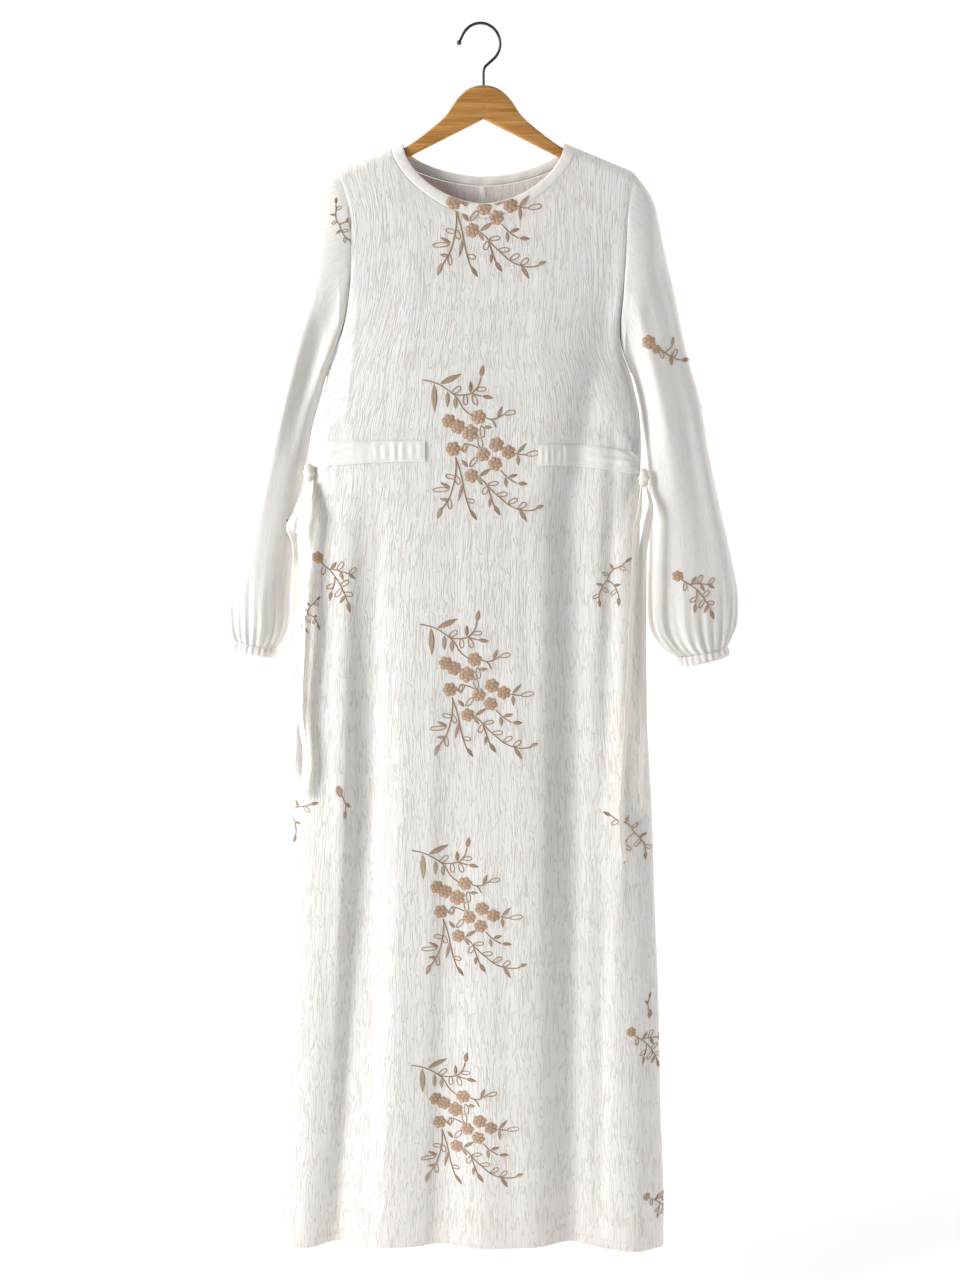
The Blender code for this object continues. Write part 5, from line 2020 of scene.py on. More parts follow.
@dataclass(frozen=True)
class Knot:
    """The wrapped lump where two ties are knotted at a side seam.

    An oval whose radius dips in grooves that climb round it, where the strip wraps.
    """

    node: str
    x: float
    y: float
    z: float
    half: tuple[float, float, float] = (0.0074, 0.0060, 0.0118)
    groove: float = 0.0013
    wraps: float = 1.5
    climb: float = 0.55

    def build(self, finish: bpy.types.Material) -> None:
        """Make the knot.

        Args:
            finish: Its cloth.
        """
        turn = np.linspace(0.0, 2 * math.pi, 56, endpoint=False)[None, :]
        up = -np.cos(np.linspace(0.05, math.pi - 0.05, 44))[:, None]
        width = np.sqrt(1 - up * up)
        wrap = np.cos(2 * math.pi * self.wraps * up + self.climb * np.sin(turn + 0.6))
        crush = soft_noise(turn * 1.9, up * 2.4, 4.0) * 0.0006 * np.sin(turn / 2)
        dent = self.groove * (1 - wrap) / 2
        x = self.x + np.cos(turn) * (self.half[0] - dent + crush) * width
        y = self.y + np.sin(turn) * (self.half[1] - dent + crush) * width
        z = self.z + self.half[2] * up + 0 * turn
        sections = np.stack([x, y, z], axis=-1)
        piece = loft(f"dress_{self.node}", sections, finish, sharp=80.0)
        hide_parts(self.node)


KNOTS = (
    Knot("tie_knot_left", -0.2140, -0.0090, -0.5245),
    Knot("tie_knot_right", 0.1970, -0.0090, -0.5310),
)


# how much longer and wider the stitched leaves are than their charted centre lines
LEAF_REACH = 1.15
LEAF_FULLNESS = 1.28


class Fill(Enum):
    """How a leaf is worked: satin-stitched all over, or only its outline."""

    FULL = 1
    OPEN = 2


@dataclass(frozen=True)
class Leaf:
    """A pointed leaf from its base to its tip, in millimetres from the design's origin."""

    base: tuple[float, float]
    tip: tuple[float, float]
    width: float
    fill: Fill = Fill.OPEN
    tone: float = 0.35


@dataclass(frozen=True)
class Bloom:
    """A round flower worked in rings of chain stitch, with a scalloped edge."""

    centre: tuple[float, float]
    radius: float
    turn: float = 0.0
    tone: float = 0.52


@dataclass
class Patch:
    """A sheet of embroidery in a design's own millimetres, ready to be laid on cloth.

    Columns of points are x, z and lift; stitches are its map; tone is its colour, with painted
    shade on the flowers.
    """

    points: list[np.ndarray] = field(default_factory=list)
    stitches: list[np.ndarray] = field(default_factory=list)
    tones: list[np.ndarray] = field(default_factory=list)
    faces: list[np.ndarray] = field(default_factory=list)
    count: int = 0

    def add(
        self, points: np.ndarray, stitches: np.ndarray, tone: np.ndarray | float, closed: bool
    ) -> None:
        """Add a grid of points.

        Args:
            points: Rows by columns of x, z and lift, in millimetres.
            stitches: Rows by columns of map places, one unit a stitch.
            tone: One tone, or one for each point.
            closed: Whether the last column joins the first.
        """
        rows, columns = points.shape[:2]
        self.points.append(points.reshape(-1, 3))
        self.stitches.append(stitches.reshape(-1, 2))
        self.tones.append(np.broadcast_to(tone, (rows, columns)).ravel())
        self.faces.append(self.count + grid_faces(rows, columns, closed))
        self.count += rows * columns

    def stem(self, path: np.ndarray, radius: float, tone: float, taper: bool = True) -> None:
        """Stem stitch: a thin cord that swells with each slanting stitch.

        Args:
            path: Points in millimetres.
            radius: Its radius in millimetres.
            tone: Its colour.
            taper: Whether its ends thin out.
        """
        path = np.asarray(path, dtype=float)
        rough = smooth_path(path, 12 * len(path))
        steps = np.linalg.norm(np.diff(rough, axis=0), axis=-1)
        length = np.concatenate([[0.0], np.cumsum(steps)])
        count = max(int(length[-1] / 1.0), 6)
        at = np.linspace(0.0, length[-1], count)
        line = np.stack([np.interp(at, length, rough[:, k]) for k in (0, 1)], axis=-1)
        along = np.gradient(line, axis=0)
        along /= np.maximum(np.linalg.norm(along, axis=-1, keepdims=True), 1e-9)
        side = np.stack([-along[:, 1], along[:, 0]], axis=-1)
        turn = np.linspace(-0.25 * math.pi, 1.25 * math.pi, 6)
        size = radius * (1.0 + 0.16 * np.cos(at * 2 * math.pi / 2.2))
        if taper:
            ends = np.minimum(at, at[-1] - at)
            size = size * (0.55 + 0.45 * smoothstep(ends / 1.8))
        wobble = 0.10 * np.sin(at * 2 * math.pi / 2.2)
        offset = size[:, None] * np.cos(turn)[None, :] + wobble[:, None]
        points = np.empty((count, len(turn), 3))
        points[..., :2] = line[:, None] + side[:, None] * offset[..., None]
        points[..., 2] = size[:, None] * np.sin(turn)[None, :] + 0.10
        slant = at[:, None] / 1.1 + offset * 0.5
        stitches = np.stack([slant, offset], axis=-1)
        self.add(points, stitches, tone, False)

    def leaf(self, leaf: Leaf) -> None:
        """Work one leaf.

        Its half width along its length is width / 2 times sin(pi s to the power 0.85).

        Args:
            leaf: The leaf.
        """
        base = np.array(leaf.base)
        axis = (np.array(leaf.tip) - base) * LEAF_REACH
        length = float(np.linalg.norm(axis))
        axis = axis / length
        side = np.array([-axis[1], axis[0]])
        width = leaf.width * LEAF_FULLNESS
        if leaf.fill is Fill.OPEN:
            turn = np.linspace(0.0, 2 * math.pi, 22)
            s = (1 - np.cos(turn)) / 2
            half = width / 2 * np.sin(turn) * (0.80 + 0.30 * s)
            path = base + axis * (s * length)[:, None] + side * half[:, None]
            self.stem(path, 0.62, leaf.tone, taper=False)
            return
        s = np.linspace(0.0, 1.0, max(int(length / 0.8), 8))[:, None]
        w = np.linspace(-1.0, 1.0, 9)[None, :]
        half = width / 2 * np.sin(math.pi * s**0.85)
        slip = 0.20 * width * (1 - np.abs(w)) * np.sin(math.pi * s)
        x = base[0] + axis[0] * (s * length + slip) + side[0] * half * w
        z = base[1] + axis[1] * (s * length + slip) + side[1] * half * w
        dome = 0.15 + 0.75 * np.sqrt(np.clip(1 - w**2, 0, 1)) * np.sin(math.pi * s) ** 0.5
        vein = 0.22 * np.exp(-((w / 0.18) ** 2))
        points = np.stack([x, z, (dome - vein) + 0 * s - 0.15 * (np.abs(w) >= 1)], axis=-1)
        thread = (s * length + 0.8 * np.abs(w) * half) / 0.55
        stitches = np.stack([thread, w + 0 * s], axis=-1)
        tone = leaf.tone + 0.10 * (1 - np.abs(w)) + 0 * s
        self.add(points, stitches, tone, False)

    def bloom(self, bloom: Bloom) -> None:
        """Work one flower.

        Its edge is radius x (0.80 + 0.24 x |cos(3 angle)| to the power 0.6), which gives
        six petals. Rings of chain stitch follow that edge inwards, and a raised knot
        sits in the middle.

        Args:
            bloom: The flower.
        """
        turn = np.linspace(0.0, 2 * math.pi, 61)[None, :-1] + bloom.turn
        share = np.linspace(0.0, 1.0, 17)[:, None]
        petals = np.abs(np.cos(3.0 * (turn - bloom.turn)))
        edge = bloom.radius * (0.80 + 0.24 * petals**0.6)
        r = share * (bloom.radius * 0.9 * (1 - share) + edge * share)
        rings = np.cos(2 * math.pi * 2.5 * (1 - share))
        gap = (1 - petals) ** 3 * smoothstep((share - 0.28) / 0.3)
        knot = np.exp(-((share / 0.15) ** 2))
        height = 1.05 * (1 - share**5) + 0.22 * rings * share + 0.45 * knot - 0.55 * gap
        height = np.maximum(height, 0.10) + 0.02 - 0.20 * (share >= 1)
        x = bloom.centre[0] + r * np.cos(turn)
        z = bloom.centre[1] + r * np.sin(turn)
        points = np.stack([x, z, height + 0 * turn], axis=-1)
        thread = turn * bloom.radius / 2.2 + 3.0 * share
        stitches = np.stack([thread, share * 6 + 0 * turn], axis=-1)
        star = smoothstep((0.34 - share) / 0.10) * (0.5 + 0.5 * np.cos(6 * turn))
        ring = np.exp(-(((share - 0.40) / 0.07) ** 2))
        # Painted shade: the tone is lighter on the raised rows of chain stitch and darker between
        # them, and darker in the sunk gaps between the petals.
        tone = bloom.tone + 0.13 * rings * share - 0.34 * gap + 0.36 * star - 0.22 * ring
        self.add(points, stitches, np.clip(tone, 0.0, 1.0), True)

    def arrays(self) -> tuple[np.ndarray, np.ndarray, np.ndarray, np.ndarray]:
        """Everything added so far.

        Returns:
            Points, stitches, tones and faces.
        """
        return (
            np.concatenate(self.points),
            np.concatenate(self.stitches),
            np.concatenate(self.tones),
            np.concatenate(self.faces),
        )


@dataclass(frozen=True)
class Design:
    """A motif: its stems, leaves and flowers, in millimetres from its first flower."""

    stems: tuple[tuple[tuple[float, float], ...], ...]
    leaves: tuple[Leaf, ...]
    blooms: tuple[Bloom, ...]
    stem_tone: float = 0.24
    stem_radius: float = 0.80

    def patch(self) -> Patch:
        """Work the whole motif.

        Returns:
            The embroidery in the design's own millimetres.
        """
        made = Patch()
        for stem in self.stems:
            made.stem(np.array(stem), self.stem_radius, self.stem_tone)
        for leaf in self.leaves:
            made.leaf(leaf)
        for bloom in self.blooms:
            made.bloom(bloom)
        return made


FULL = Fill.FULL

BOUQUET = Design(
    stems=(
        (
            (-68.5, 44.8), (-61.5, 43.5), (-54.5, 41.8), (-46.8, 38.7), (-38.3, 33.3),
            (-30.2, 27.2), (-24.2, 19.8), (-19.8, 11.7), (-14.1, 5.6), (-7.0, 1.0),
        ),
        (
            (-30.2, 27.2), (-24.0, 26.4), (-16.1, 26.8), (-9.1, 28.4), (-4.0, 32.9),
            (0.0, 39.0), (2.6, 48.0),
        ),
        ((-9.1, 28.4), (-2.0, 26.4), (4.0, 25.2)),
        ((8.5, -1.0), (14.1, -2.4), (21.2, -1.8), (26.2, 1.0), (31.3, 3.6)),
        ((14.1, -2.4), (17.6, -6.0), (21.0, -12.5)),
        ((-17.1, -31.7), (-8.1, -34.1), (0.0, -37.7)),
        ((44.8, -43.8), (50.4, -45.2), (57.5, -45.8)),
        (
            (-28.6, -48.2), (-25.2, -57.9), (-21.2, -72.0), (-18.6, -86.1), (-16.1, -97.2),
            (-12.1, -110.3), (-9.1, -117.4),
        ),
        (
            (-28.2, -48.8), (-27.8, -59.9), (-29.2, -74.0), (-32.3, -87.1), (-36.3, -98.2),
            (-42.0, -107.3), (-46.4, -114.4),
        ),
        (
            (-0.4, -73.0), (6.0, -78.1), (13.1, -86.1), (21.2, -94.2), (28.2, -100.2),
            (36.3, -106.9), (46.4, -111.7), (56.5, -114.0), (66.5, -113.4), (71.6, -111.3),
        ),
        ((10.1, -83.7), (13.1, -92.2), (16.1, -101.2), (19.2, -109.3)),
        ((26.2, -64.3), (32.3, -71.0), (38.3, -76.0), (46.4, -80.7)),
        ((13.1, -63.5), (7.0, -67.5), (1.0, -72.0)),
    ),
    leaves=(
        Leaf((-46.4, 39.9), (-23.8, 50.4), 5.6, FULL, 0.50),
        Leaf((-53.8, 39.9), (-53.4, 9.7), 5.8, FULL, 0.62),
        Leaf((-37.7, 30.9), (-37.9, 14.1), 4.2, FULL, 0.60),
        Leaf((-32.3, 28.4), (-23.2, 35.3), 4.6, Fill.OPEN, 0.34),
        Leaf((-28.6, 23.8), (-28.2, 11.3), 4.4, FULL, 0.66),
        Leaf((-16.5, 26.8), (-16.1, 16.3), 4.2),
        Leaf((-7.1, 26.4), (-3.6, 16.7), 4.6),
        Leaf((-9.9, 29.2), (-9.9, 42.0), 3.8, FULL, 0.36),
        Leaf((-3.0, 32.9), (7.1, 33.9), 4.0),
        Leaf((2.6, 48.0), (5.0, 61.1), 4.8, FULL, 0.48),
        Leaf((4.0, 25.2), (16.1, 23.2), 4.2, FULL, 0.44),
        Leaf((22.8, -0.4), (27.8, 11.7), 3.6, FULL, 0.46),
        Leaf((31.3, 3.6), (42.4, 6.3), 4.4),
        Leaf((3.4, -10.5), (4.6, -22.6), 4.4),
        Leaf((6.0, -12.5), (15.1, -12.1), 3.8, FULL, 0.56),
        Leaf((-21.2, -40.7), (-14.1, -33.7), 4.2),
        Leaf((-17.1, -32.0), (-17.5, -41.5), 3.6),
        Leaf((2.8, -37.7), (1.0, -26.6), 4.6),
        Leaf((57.5, -45.8), (71.0, -43.4), 4.8),
        Leaf((47.0, -43.8), (56.9, -32.7), 3.6, FULL, 0.50),
        Leaf((47.6, -45.4), (48.2, -57.5), 3.6, FULL, 0.52),
        Leaf((-10.5, -113.4), (-3.0, -124.5), 4.0, FULL, 0.26),
        Leaf((-14.7, -101.2), (-6.5, -102.7), 4.2),
        Leaf((-45.4, -109.3), (-50.0, -122.4), 4.8, FULL, 0.70),
        Leaf((-28.2, -74.0), (-38.7, -71.4), 4.2),
        Leaf((-29.2, -71.0), (-24.6, -80.1), 4.6),
        Leaf((-34.3, -86.1), (-45.8, -80.1), 3.2, FULL, 0.44),
        Leaf((-36.3, -87.7), (-53.4, -88.8), 4.2),
        Leaf((-36.3, -101.2), (-46.4, -99.8), 3.6, FULL, 0.60),
        Leaf((-36.3, -99.2), (-35.3, -110.3), 3.8),
        Leaf((-19.8, -80.1), (-24.2, -100.2), 3.4, FULL, 0.66),
        Leaf((-13.1, -60.9), (-20.2, -52.8), 3.8, FULL, 0.48),
        Leaf((-11.1, -59.9), (-3.6, -50.8), 4.4),
        Leaf((0.4, -72.0), (13.1, -63.5), 4.0, FULL, 0.50),
        Leaf((22.2, -94.6), (33.3, -93.8), 4.2),
        Leaf((36.3, -105.3), (45.4, -100.2), 4.2),
        Leaf((48.8, -111.3), (56.5, -105.3), 4.4),
        Leaf((49.4, -112.4), (57.9, -126.1), 4.2, FULL, 0.46),
        Leaf((69.6, -111.3), (78.3, -107.9), 3.8, FULL, 0.56),
        Leaf((-1.0, -75.0), (4.4, -82.5), 3.2, FULL, 0.58),
        Leaf((11.7, -81.7), (22.2, -80.1), 3.8),
        Leaf((10.1, -84.1), (6.0, -92.6), 4.6),
        Leaf((18.2, -107.3), (25.6, -118.4), 4.4, FULL, 0.32),
        Leaf((14.1, -98.2), (13.1, -108.7), 3.2, FULL, 0.50),
        Leaf((47.4, -80.7), (58.5, -81.1), 4.0, FULL, 0.34),
        Leaf((36.3, -73.0), (46.4, -70.0), 3.8, FULL, 0.40),
        Leaf((32.3, -73.0), (33.3, -84.1), 3.8, FULL, 0.58),
    ),
    blooms=(
        Bloom((0.0, 0.0), 9.2, 0.2, 0.54),
        Bloom((-35.9, -4.8), 8.8, 0.9, 0.46),
        Bloom((-25.2, -11.5), 9.2, 1.7, 0.48),
        Bloom((-10.1, -19.2), 10.4, 0.5, 0.55),
        Bloom((-30.9, -38.5), 9.2, 2.2, 0.48),
        Bloom((5.4, -45.4), 8.7, 1.2, 0.56),
        Bloom((21.6, -33.3), 9.2, 0.3, 0.50),
        Bloom((36.3, -42.4), 8.8, 2.6, 0.45),
        Bloom((20.0, -56.9), 8.8, 1.9, 0.52),
        Bloom((-8.7, -71.4), 8.8, 0.7, 0.55),
    ),
)

SPRIG = Design(
    stems=(
        ((3.0, -5.5), (10.0, -12.0), (18.0, -21.0), (25.0, -33.0), (30.0, -46.0), (33.0, -57.0)),
        ((12.5, -14.5), (22.0, -16.0), (31.0, -19.0), (38.0, -21.5)),
        ((20.0, -24.0), (18.5, -33.0), (14.5, -42.0)),
    ),
    leaves=(
        Leaf((33.0, -56.0), (34.5, -69.0), 4.2, FULL, 0.42),
        Leaf((15.0, -15.5), (23.0, -7.0), 3.8, FULL, 0.50),
        Leaf((24.0, -16.5), (31.0, -8.0), 4.0),
        Leaf((27.0, -18.0), (30.0, -28.0), 3.8, FULL, 0.56),
        Leaf((38.0, -21.5), (46.0, -16.0), 4.0),
        Leaf((37.0, -21.5), (44.0, -28.0), 3.6, FULL, 0.46),
        Leaf((26.0, -36.0), (35.0, -31.0), 4.2),
        Leaf((27.5, -40.0), (19.5, -48.0), 4.0),
        Leaf((29.5, -45.0), (38.5, -48.0), 4.2),
        Leaf((30.5, -48.0), (24.0, -57.0), 3.8, FULL, 0.60),
        Leaf((14.5, -42.0), (11.0, -53.0), 4.0, FULL, 0.52),
        Leaf((18.0, -34.0), (9.5, -38.0), 4.0),
        Leaf((8.0, -10.5), (5.0, -20.0), 3.8),
    ),
    blooms=(Bloom((0.0, 0.0), 7.6, 0.4, 0.50),),
)

SHORT_SPRIG = Design(
    stems=(
        ((5.0, -3.0), (13.0, -8.0), (22.0, -14.0), (33.0, -20.0), (42.0, -22.0)),
        ((20.0, -13.0), (25.0, -9.0), (30.0, -4.0)),
    ),
    leaves=(
        Leaf((41.0, -22.0), (52.0, -21.5), 4.2, FULL, 0.46),
        Leaf((29.0, -5.0), (31.0, 5.0), 3.8, FULL, 0.55),
        Leaf((14.0, -9.0), (17.0, -18.0), 4.0),
        Leaf((30.0, -18.5), (35.0, -10.5), 4.0),
        Leaf((27.0, -17.0), (29.0, -27.0), 3.8, FULL, 0.40),
    ),
    blooms=(Bloom((0.0, 0.0), 8.6, 0.6, 0.50), Bloom((9.5, -8.5), 5.6, 1.1, 0.44)),
)

FORK = Design(
    stems=(
        ((0.0, 0.0), (-5.0, -9.0), (-13.0, -17.0), (-19.0, -27.0), (-21.5, -38.0)),
        ((0.0, 0.0), (8.0, 6.0), (18.0, 10.0), (27.0, 15.5)),
        ((-5.0, -9.0), (4.0, -16.0), (9.0, -27.0), (10.0, -38.0)),
    ),
    leaves=(
        Leaf((-21.5, -37.0), (-21.0, -48.0), 4.2, FULL, 0.45),
        Leaf((26.5, 15.0), (37.0, 19.5), 4.2, FULL, 0.30),
        Leaf((10.0, -37.0), (8.5, -50.0), 4.4, FULL, 0.48),
        Leaf((8.0, 6.0), (4.0, 15.0), 3.8, FULL, 0.56),
        Leaf((17.0, 9.5), (25.0, 4.0), 4.2),
        Leaf((-12.0, -16.0), (-21.5, -12.0), 4.0, FULL, 0.58),
        Leaf((-14.5, -19.0), (-6.5, -27.0), 4.2),
        Leaf((-19.5, -29.0), (-28.5, -33.0), 4.0),
        Leaf((5.5, -19.0), (14.5, -18.0), 3.8, FULL, 0.50),
        Leaf((8.5, -26.0), (0.5, -32.0), 4.0),
        Leaf((-1.0, -2.0), (-9.0, 3.0), 3.6),
    ),
    blooms=(),
)

TWIG = Design(
    stems=(((0.0, 0.0), (2.5, -7.0), (5.0, -15.0), (4.5, -23.0)),),
    leaves=(
        Leaf((-2.5, 11.0), (-1.5, -3.0), 6.4, FULL, 0.52),
        Leaf((4.5, -13.0), (11.0, -19.0), 3.6, FULL, 0.48),
        Leaf((4.5, -22.0), (4.0, -33.0), 3.4, FULL, 0.40),
    ),
    blooms=(),
)


class Cloth(Enum):
    """The piece that a motif is worked on."""

    FRONT = "front"
    BACK = "back"
    SLEEVE_LEFT = "sleeve_left"
    SLEEVE_RIGHT = "sleeve_right"


@dataclass(frozen=True)
class Spot:
    """Where a motif is worked: its origin in metres, its turn, size and mirroring."""

    design: Design
    cloth: Cloth
    x: float
    z: float
    turn: float = 0.0
    scale: float = 1.0
    mirror: bool = False
    on_back: bool = False


BOUQUET_SPOTS = (
    Spot(BOUQUET, Cloth.FRONT, -0.0046, -0.1634),
    Spot(BOUQUET, Cloth.FRONT, -0.0058, -0.4553),
    Spot(BOUQUET, Cloth.FRONT, -0.0108, -0.7555),
    Spot(BOUQUET, Cloth.FRONT, -0.0233, -1.0491),
    Spot(BOUQUET, Cloth.FRONT, -0.0263, -1.3431),
)
SPRIG_SPOTS = (
    Spot(SPRIG, Cloth.FRONT, -0.2050, -0.6290, 4.0),
    Spot(FORK, Cloth.FRONT, 0.1560, -0.6500, 8.0, 0.80),
    Spot(TWIG, Cloth.FRONT, -0.1815, -0.9300, 0.0, 1.0),
    Spot(FORK, Cloth.FRONT, -0.2440, -0.9560, -8.0, 0.85),
    Spot(FORK, Cloth.FRONT, 0.1880, -0.9750, 0.0, 0.95, True),
    Spot(SPRIG, Cloth.FRONT, 0.1930, -1.2540, 8.0, 0.90),
    Spot(TWIG, Cloth.FRONT, 0.2170, -1.2300, 170.0, 0.8),
    Spot(SPRIG, Cloth.FRONT, 0.2180, -1.4900, 12.0, 0.72),
    Spot(FORK, Cloth.FRONT, -0.2180, -0.6950, 20.0, 0.55),
    Spot(SPRIG, Cloth.BACK, -0.1500, -0.6400, -8.0, 0.9, True),
    Spot(FORK, Cloth.BACK, 0.1550, -0.8300, 0.0, 0.9),
    Spot(SPRIG, Cloth.BACK, 0.1700, -1.1700, 0.0, 0.9, True),
    Spot(FORK, Cloth.BACK, -0.1700, -1.0200, 15.0, 0.9),
)
SLEEVE_SPOTS = (
    Spot(FORK, Cloth.SLEEVE_LEFT, -0.1750, -0.2230, 62.0, 0.62),
    Spot(TWIG, Cloth.SLEEVE_LEFT, -0.2400, -0.5980, 160.0, 0.7),
    Spot(SHORT_SPRIG, Cloth.SLEEVE_RIGHT, 0.1990, -0.3660),
    Spot(SPRIG, Cloth.SLEEVE_RIGHT, 0.2410, -0.6525, 14.0, 0.92),
    Spot(SPRIG, Cloth.SLEEVE_LEFT, -0.2350, -0.3900, -20.0, 0.85, True, True),
    Spot(SPRIG, Cloth.SLEEVE_RIGHT, 0.2300, -0.4300, 10.0, 0.85, False, True),
)
BACK_BOUQUETS = tuple(
    Spot(BOUQUET, Cloth.BACK, x, z, 0.0, 1.0, True)
    for x, z in ((0.010, -0.3080), (0.012, -0.6060), (0.018, -0.9090), (0.024, -1.2060))
)


@dataclass
class Embroidery:
    """The raised embroidery, laid on the body and the sleeves."""

    form: BodyForm
    sleeves: dict[Cloth, Sleeve]
    finish: bpy.types.Material
    band_lift: float = 0.0010

    def lay(self, spot: Spot) -> tuple[np.ndarray, np.ndarray, np.ndarray, np.ndarray]:
        """Lay one motif on its cloth.

        Args:
            spot: The motif and where it goes.

        Returns:
            Points in metres, stitches, tones and faces.
        """
        local, stitches, tones, faces = spot.design.patch().arrays()
        flip = -1.0 if spot.mirror else 1.0
        angle = math.radians(spot.turn)
        across = local[:, 0] * flip * spot.scale * MM
        up = local[:, 1] * spot.scale * MM
        x = spot.x + across * math.cos(angle) - up * math.sin(angle)
        z = spot.z + across * math.sin(angle) + up * math.cos(angle)
        lift = local[:, 2] * MM
        back = spot.cloth is Cloth.BACK or spot.on_back
        face = Face.BACK if back else Face.FRONT
        if spot.cloth in self.sleeves:
            sleeve = self.sleeves[spot.cloth]
            row, turn = sleeve.find(x, z, face)
            points = sleeve.place(row, turn, lift)
            missed = np.hypot(points[:, 0] - x, points[:, 2] - z) > 0.004
            faces = faces[~missed[faces].any(axis=1)]
        else:
            points, faces = self.on_body(x, z, lift, face, faces)
        if back != spot.mirror:
            faces = faces[:, ::-1]
        return points, stitches, tones, faces

    def on_body(
        self, x: np.ndarray, z: np.ndarray, lift: np.ndarray, face: Face, faces: np.ndarray
    ) -> tuple[np.ndarray, np.ndarray]:
        """Lay points on the body, cut off at the neck's edge and the side seams.

        Args:
            x: Places across.
            z: Heights.
            lift: Distance out from the cloth.
            face: Front or back.
            faces: Quads over the points.

        Returns:
            Points in metres, and the quads that stay.
        """
        edge, seam = (FRONT_EDGE, FRONT_SEAM) if face is Face.FRONT else (BACK_EDGE, BACK_SEAM)
        on_band = smoothstep((1.0 - seam.level(x, z)) / 0.02 + 0.5)
        left = self.form.outline(LEFT, z)
        right = self.form.outline(RIGHT, z)
        off = (x < left + 0.0012) | (x > right - 0.0012) | (edge.level(x, z) < 1.012)
        off = off | (z < HEM_Z + 0.002)
        plain = self.form.relief(x, z, face)
        band = self.band_lift * on_band - plain * on_band
        points = self.form.place(x, z, lift + band, face)
        return points, faces[~off[faces].any(axis=1)]

    def piece(self, name: str, spots: tuple[Spot, ...]) -> bpy.types.Object:
        """Join the motifs of some spots into one piece.

        Args:
            name: The piece's name.
            spots: The motifs.

        Returns:
            The piece.
        """
        points = []
        stitches = []
        tones = []
        faces = []
        count = 0
        for spot in spots:
            laid, stitch, tone, quads = self.lay(spot)
            used, numbers = np.unique(quads, return_inverse=True)
            points.append(laid[used])
            stitches.append(stitch[used])
            tones.append(tone[used])
            faces.append(count + numbers.reshape(quads.shape))
            count += len(used)
        quads = np.concatenate(faces)
        flat = np.concatenate(stitches)[quads.ravel()]
        made = make_object(
            name, np.concatenate(points), quads.tolist(), flat, self.finish, sharp=70.0
        )
        tone = made.data.attributes.new("tone", "FLOAT", "POINT")
        tone.data.foreach_set("value", np.concatenate(tones).astype(np.float32))
        return made

    def build(self) -> list[bpy.types.Object]:
        """Work every motif.

        Returns:
            The pieces.
        """
        return [
            self.piece("embroidery_front_upper", BOUQUET_SPOTS[:3]),
            self.piece("embroidery_front_lower", BOUQUET_SPOTS[3:]),
            self.piece("embroidery_sprigs", SPRIG_SPOTS),
            self.piece("embroidery_sleeves", SLEEVE_SPOTS),
            self.piece("embroidery_back", BACK_BOUQUETS),
        ]


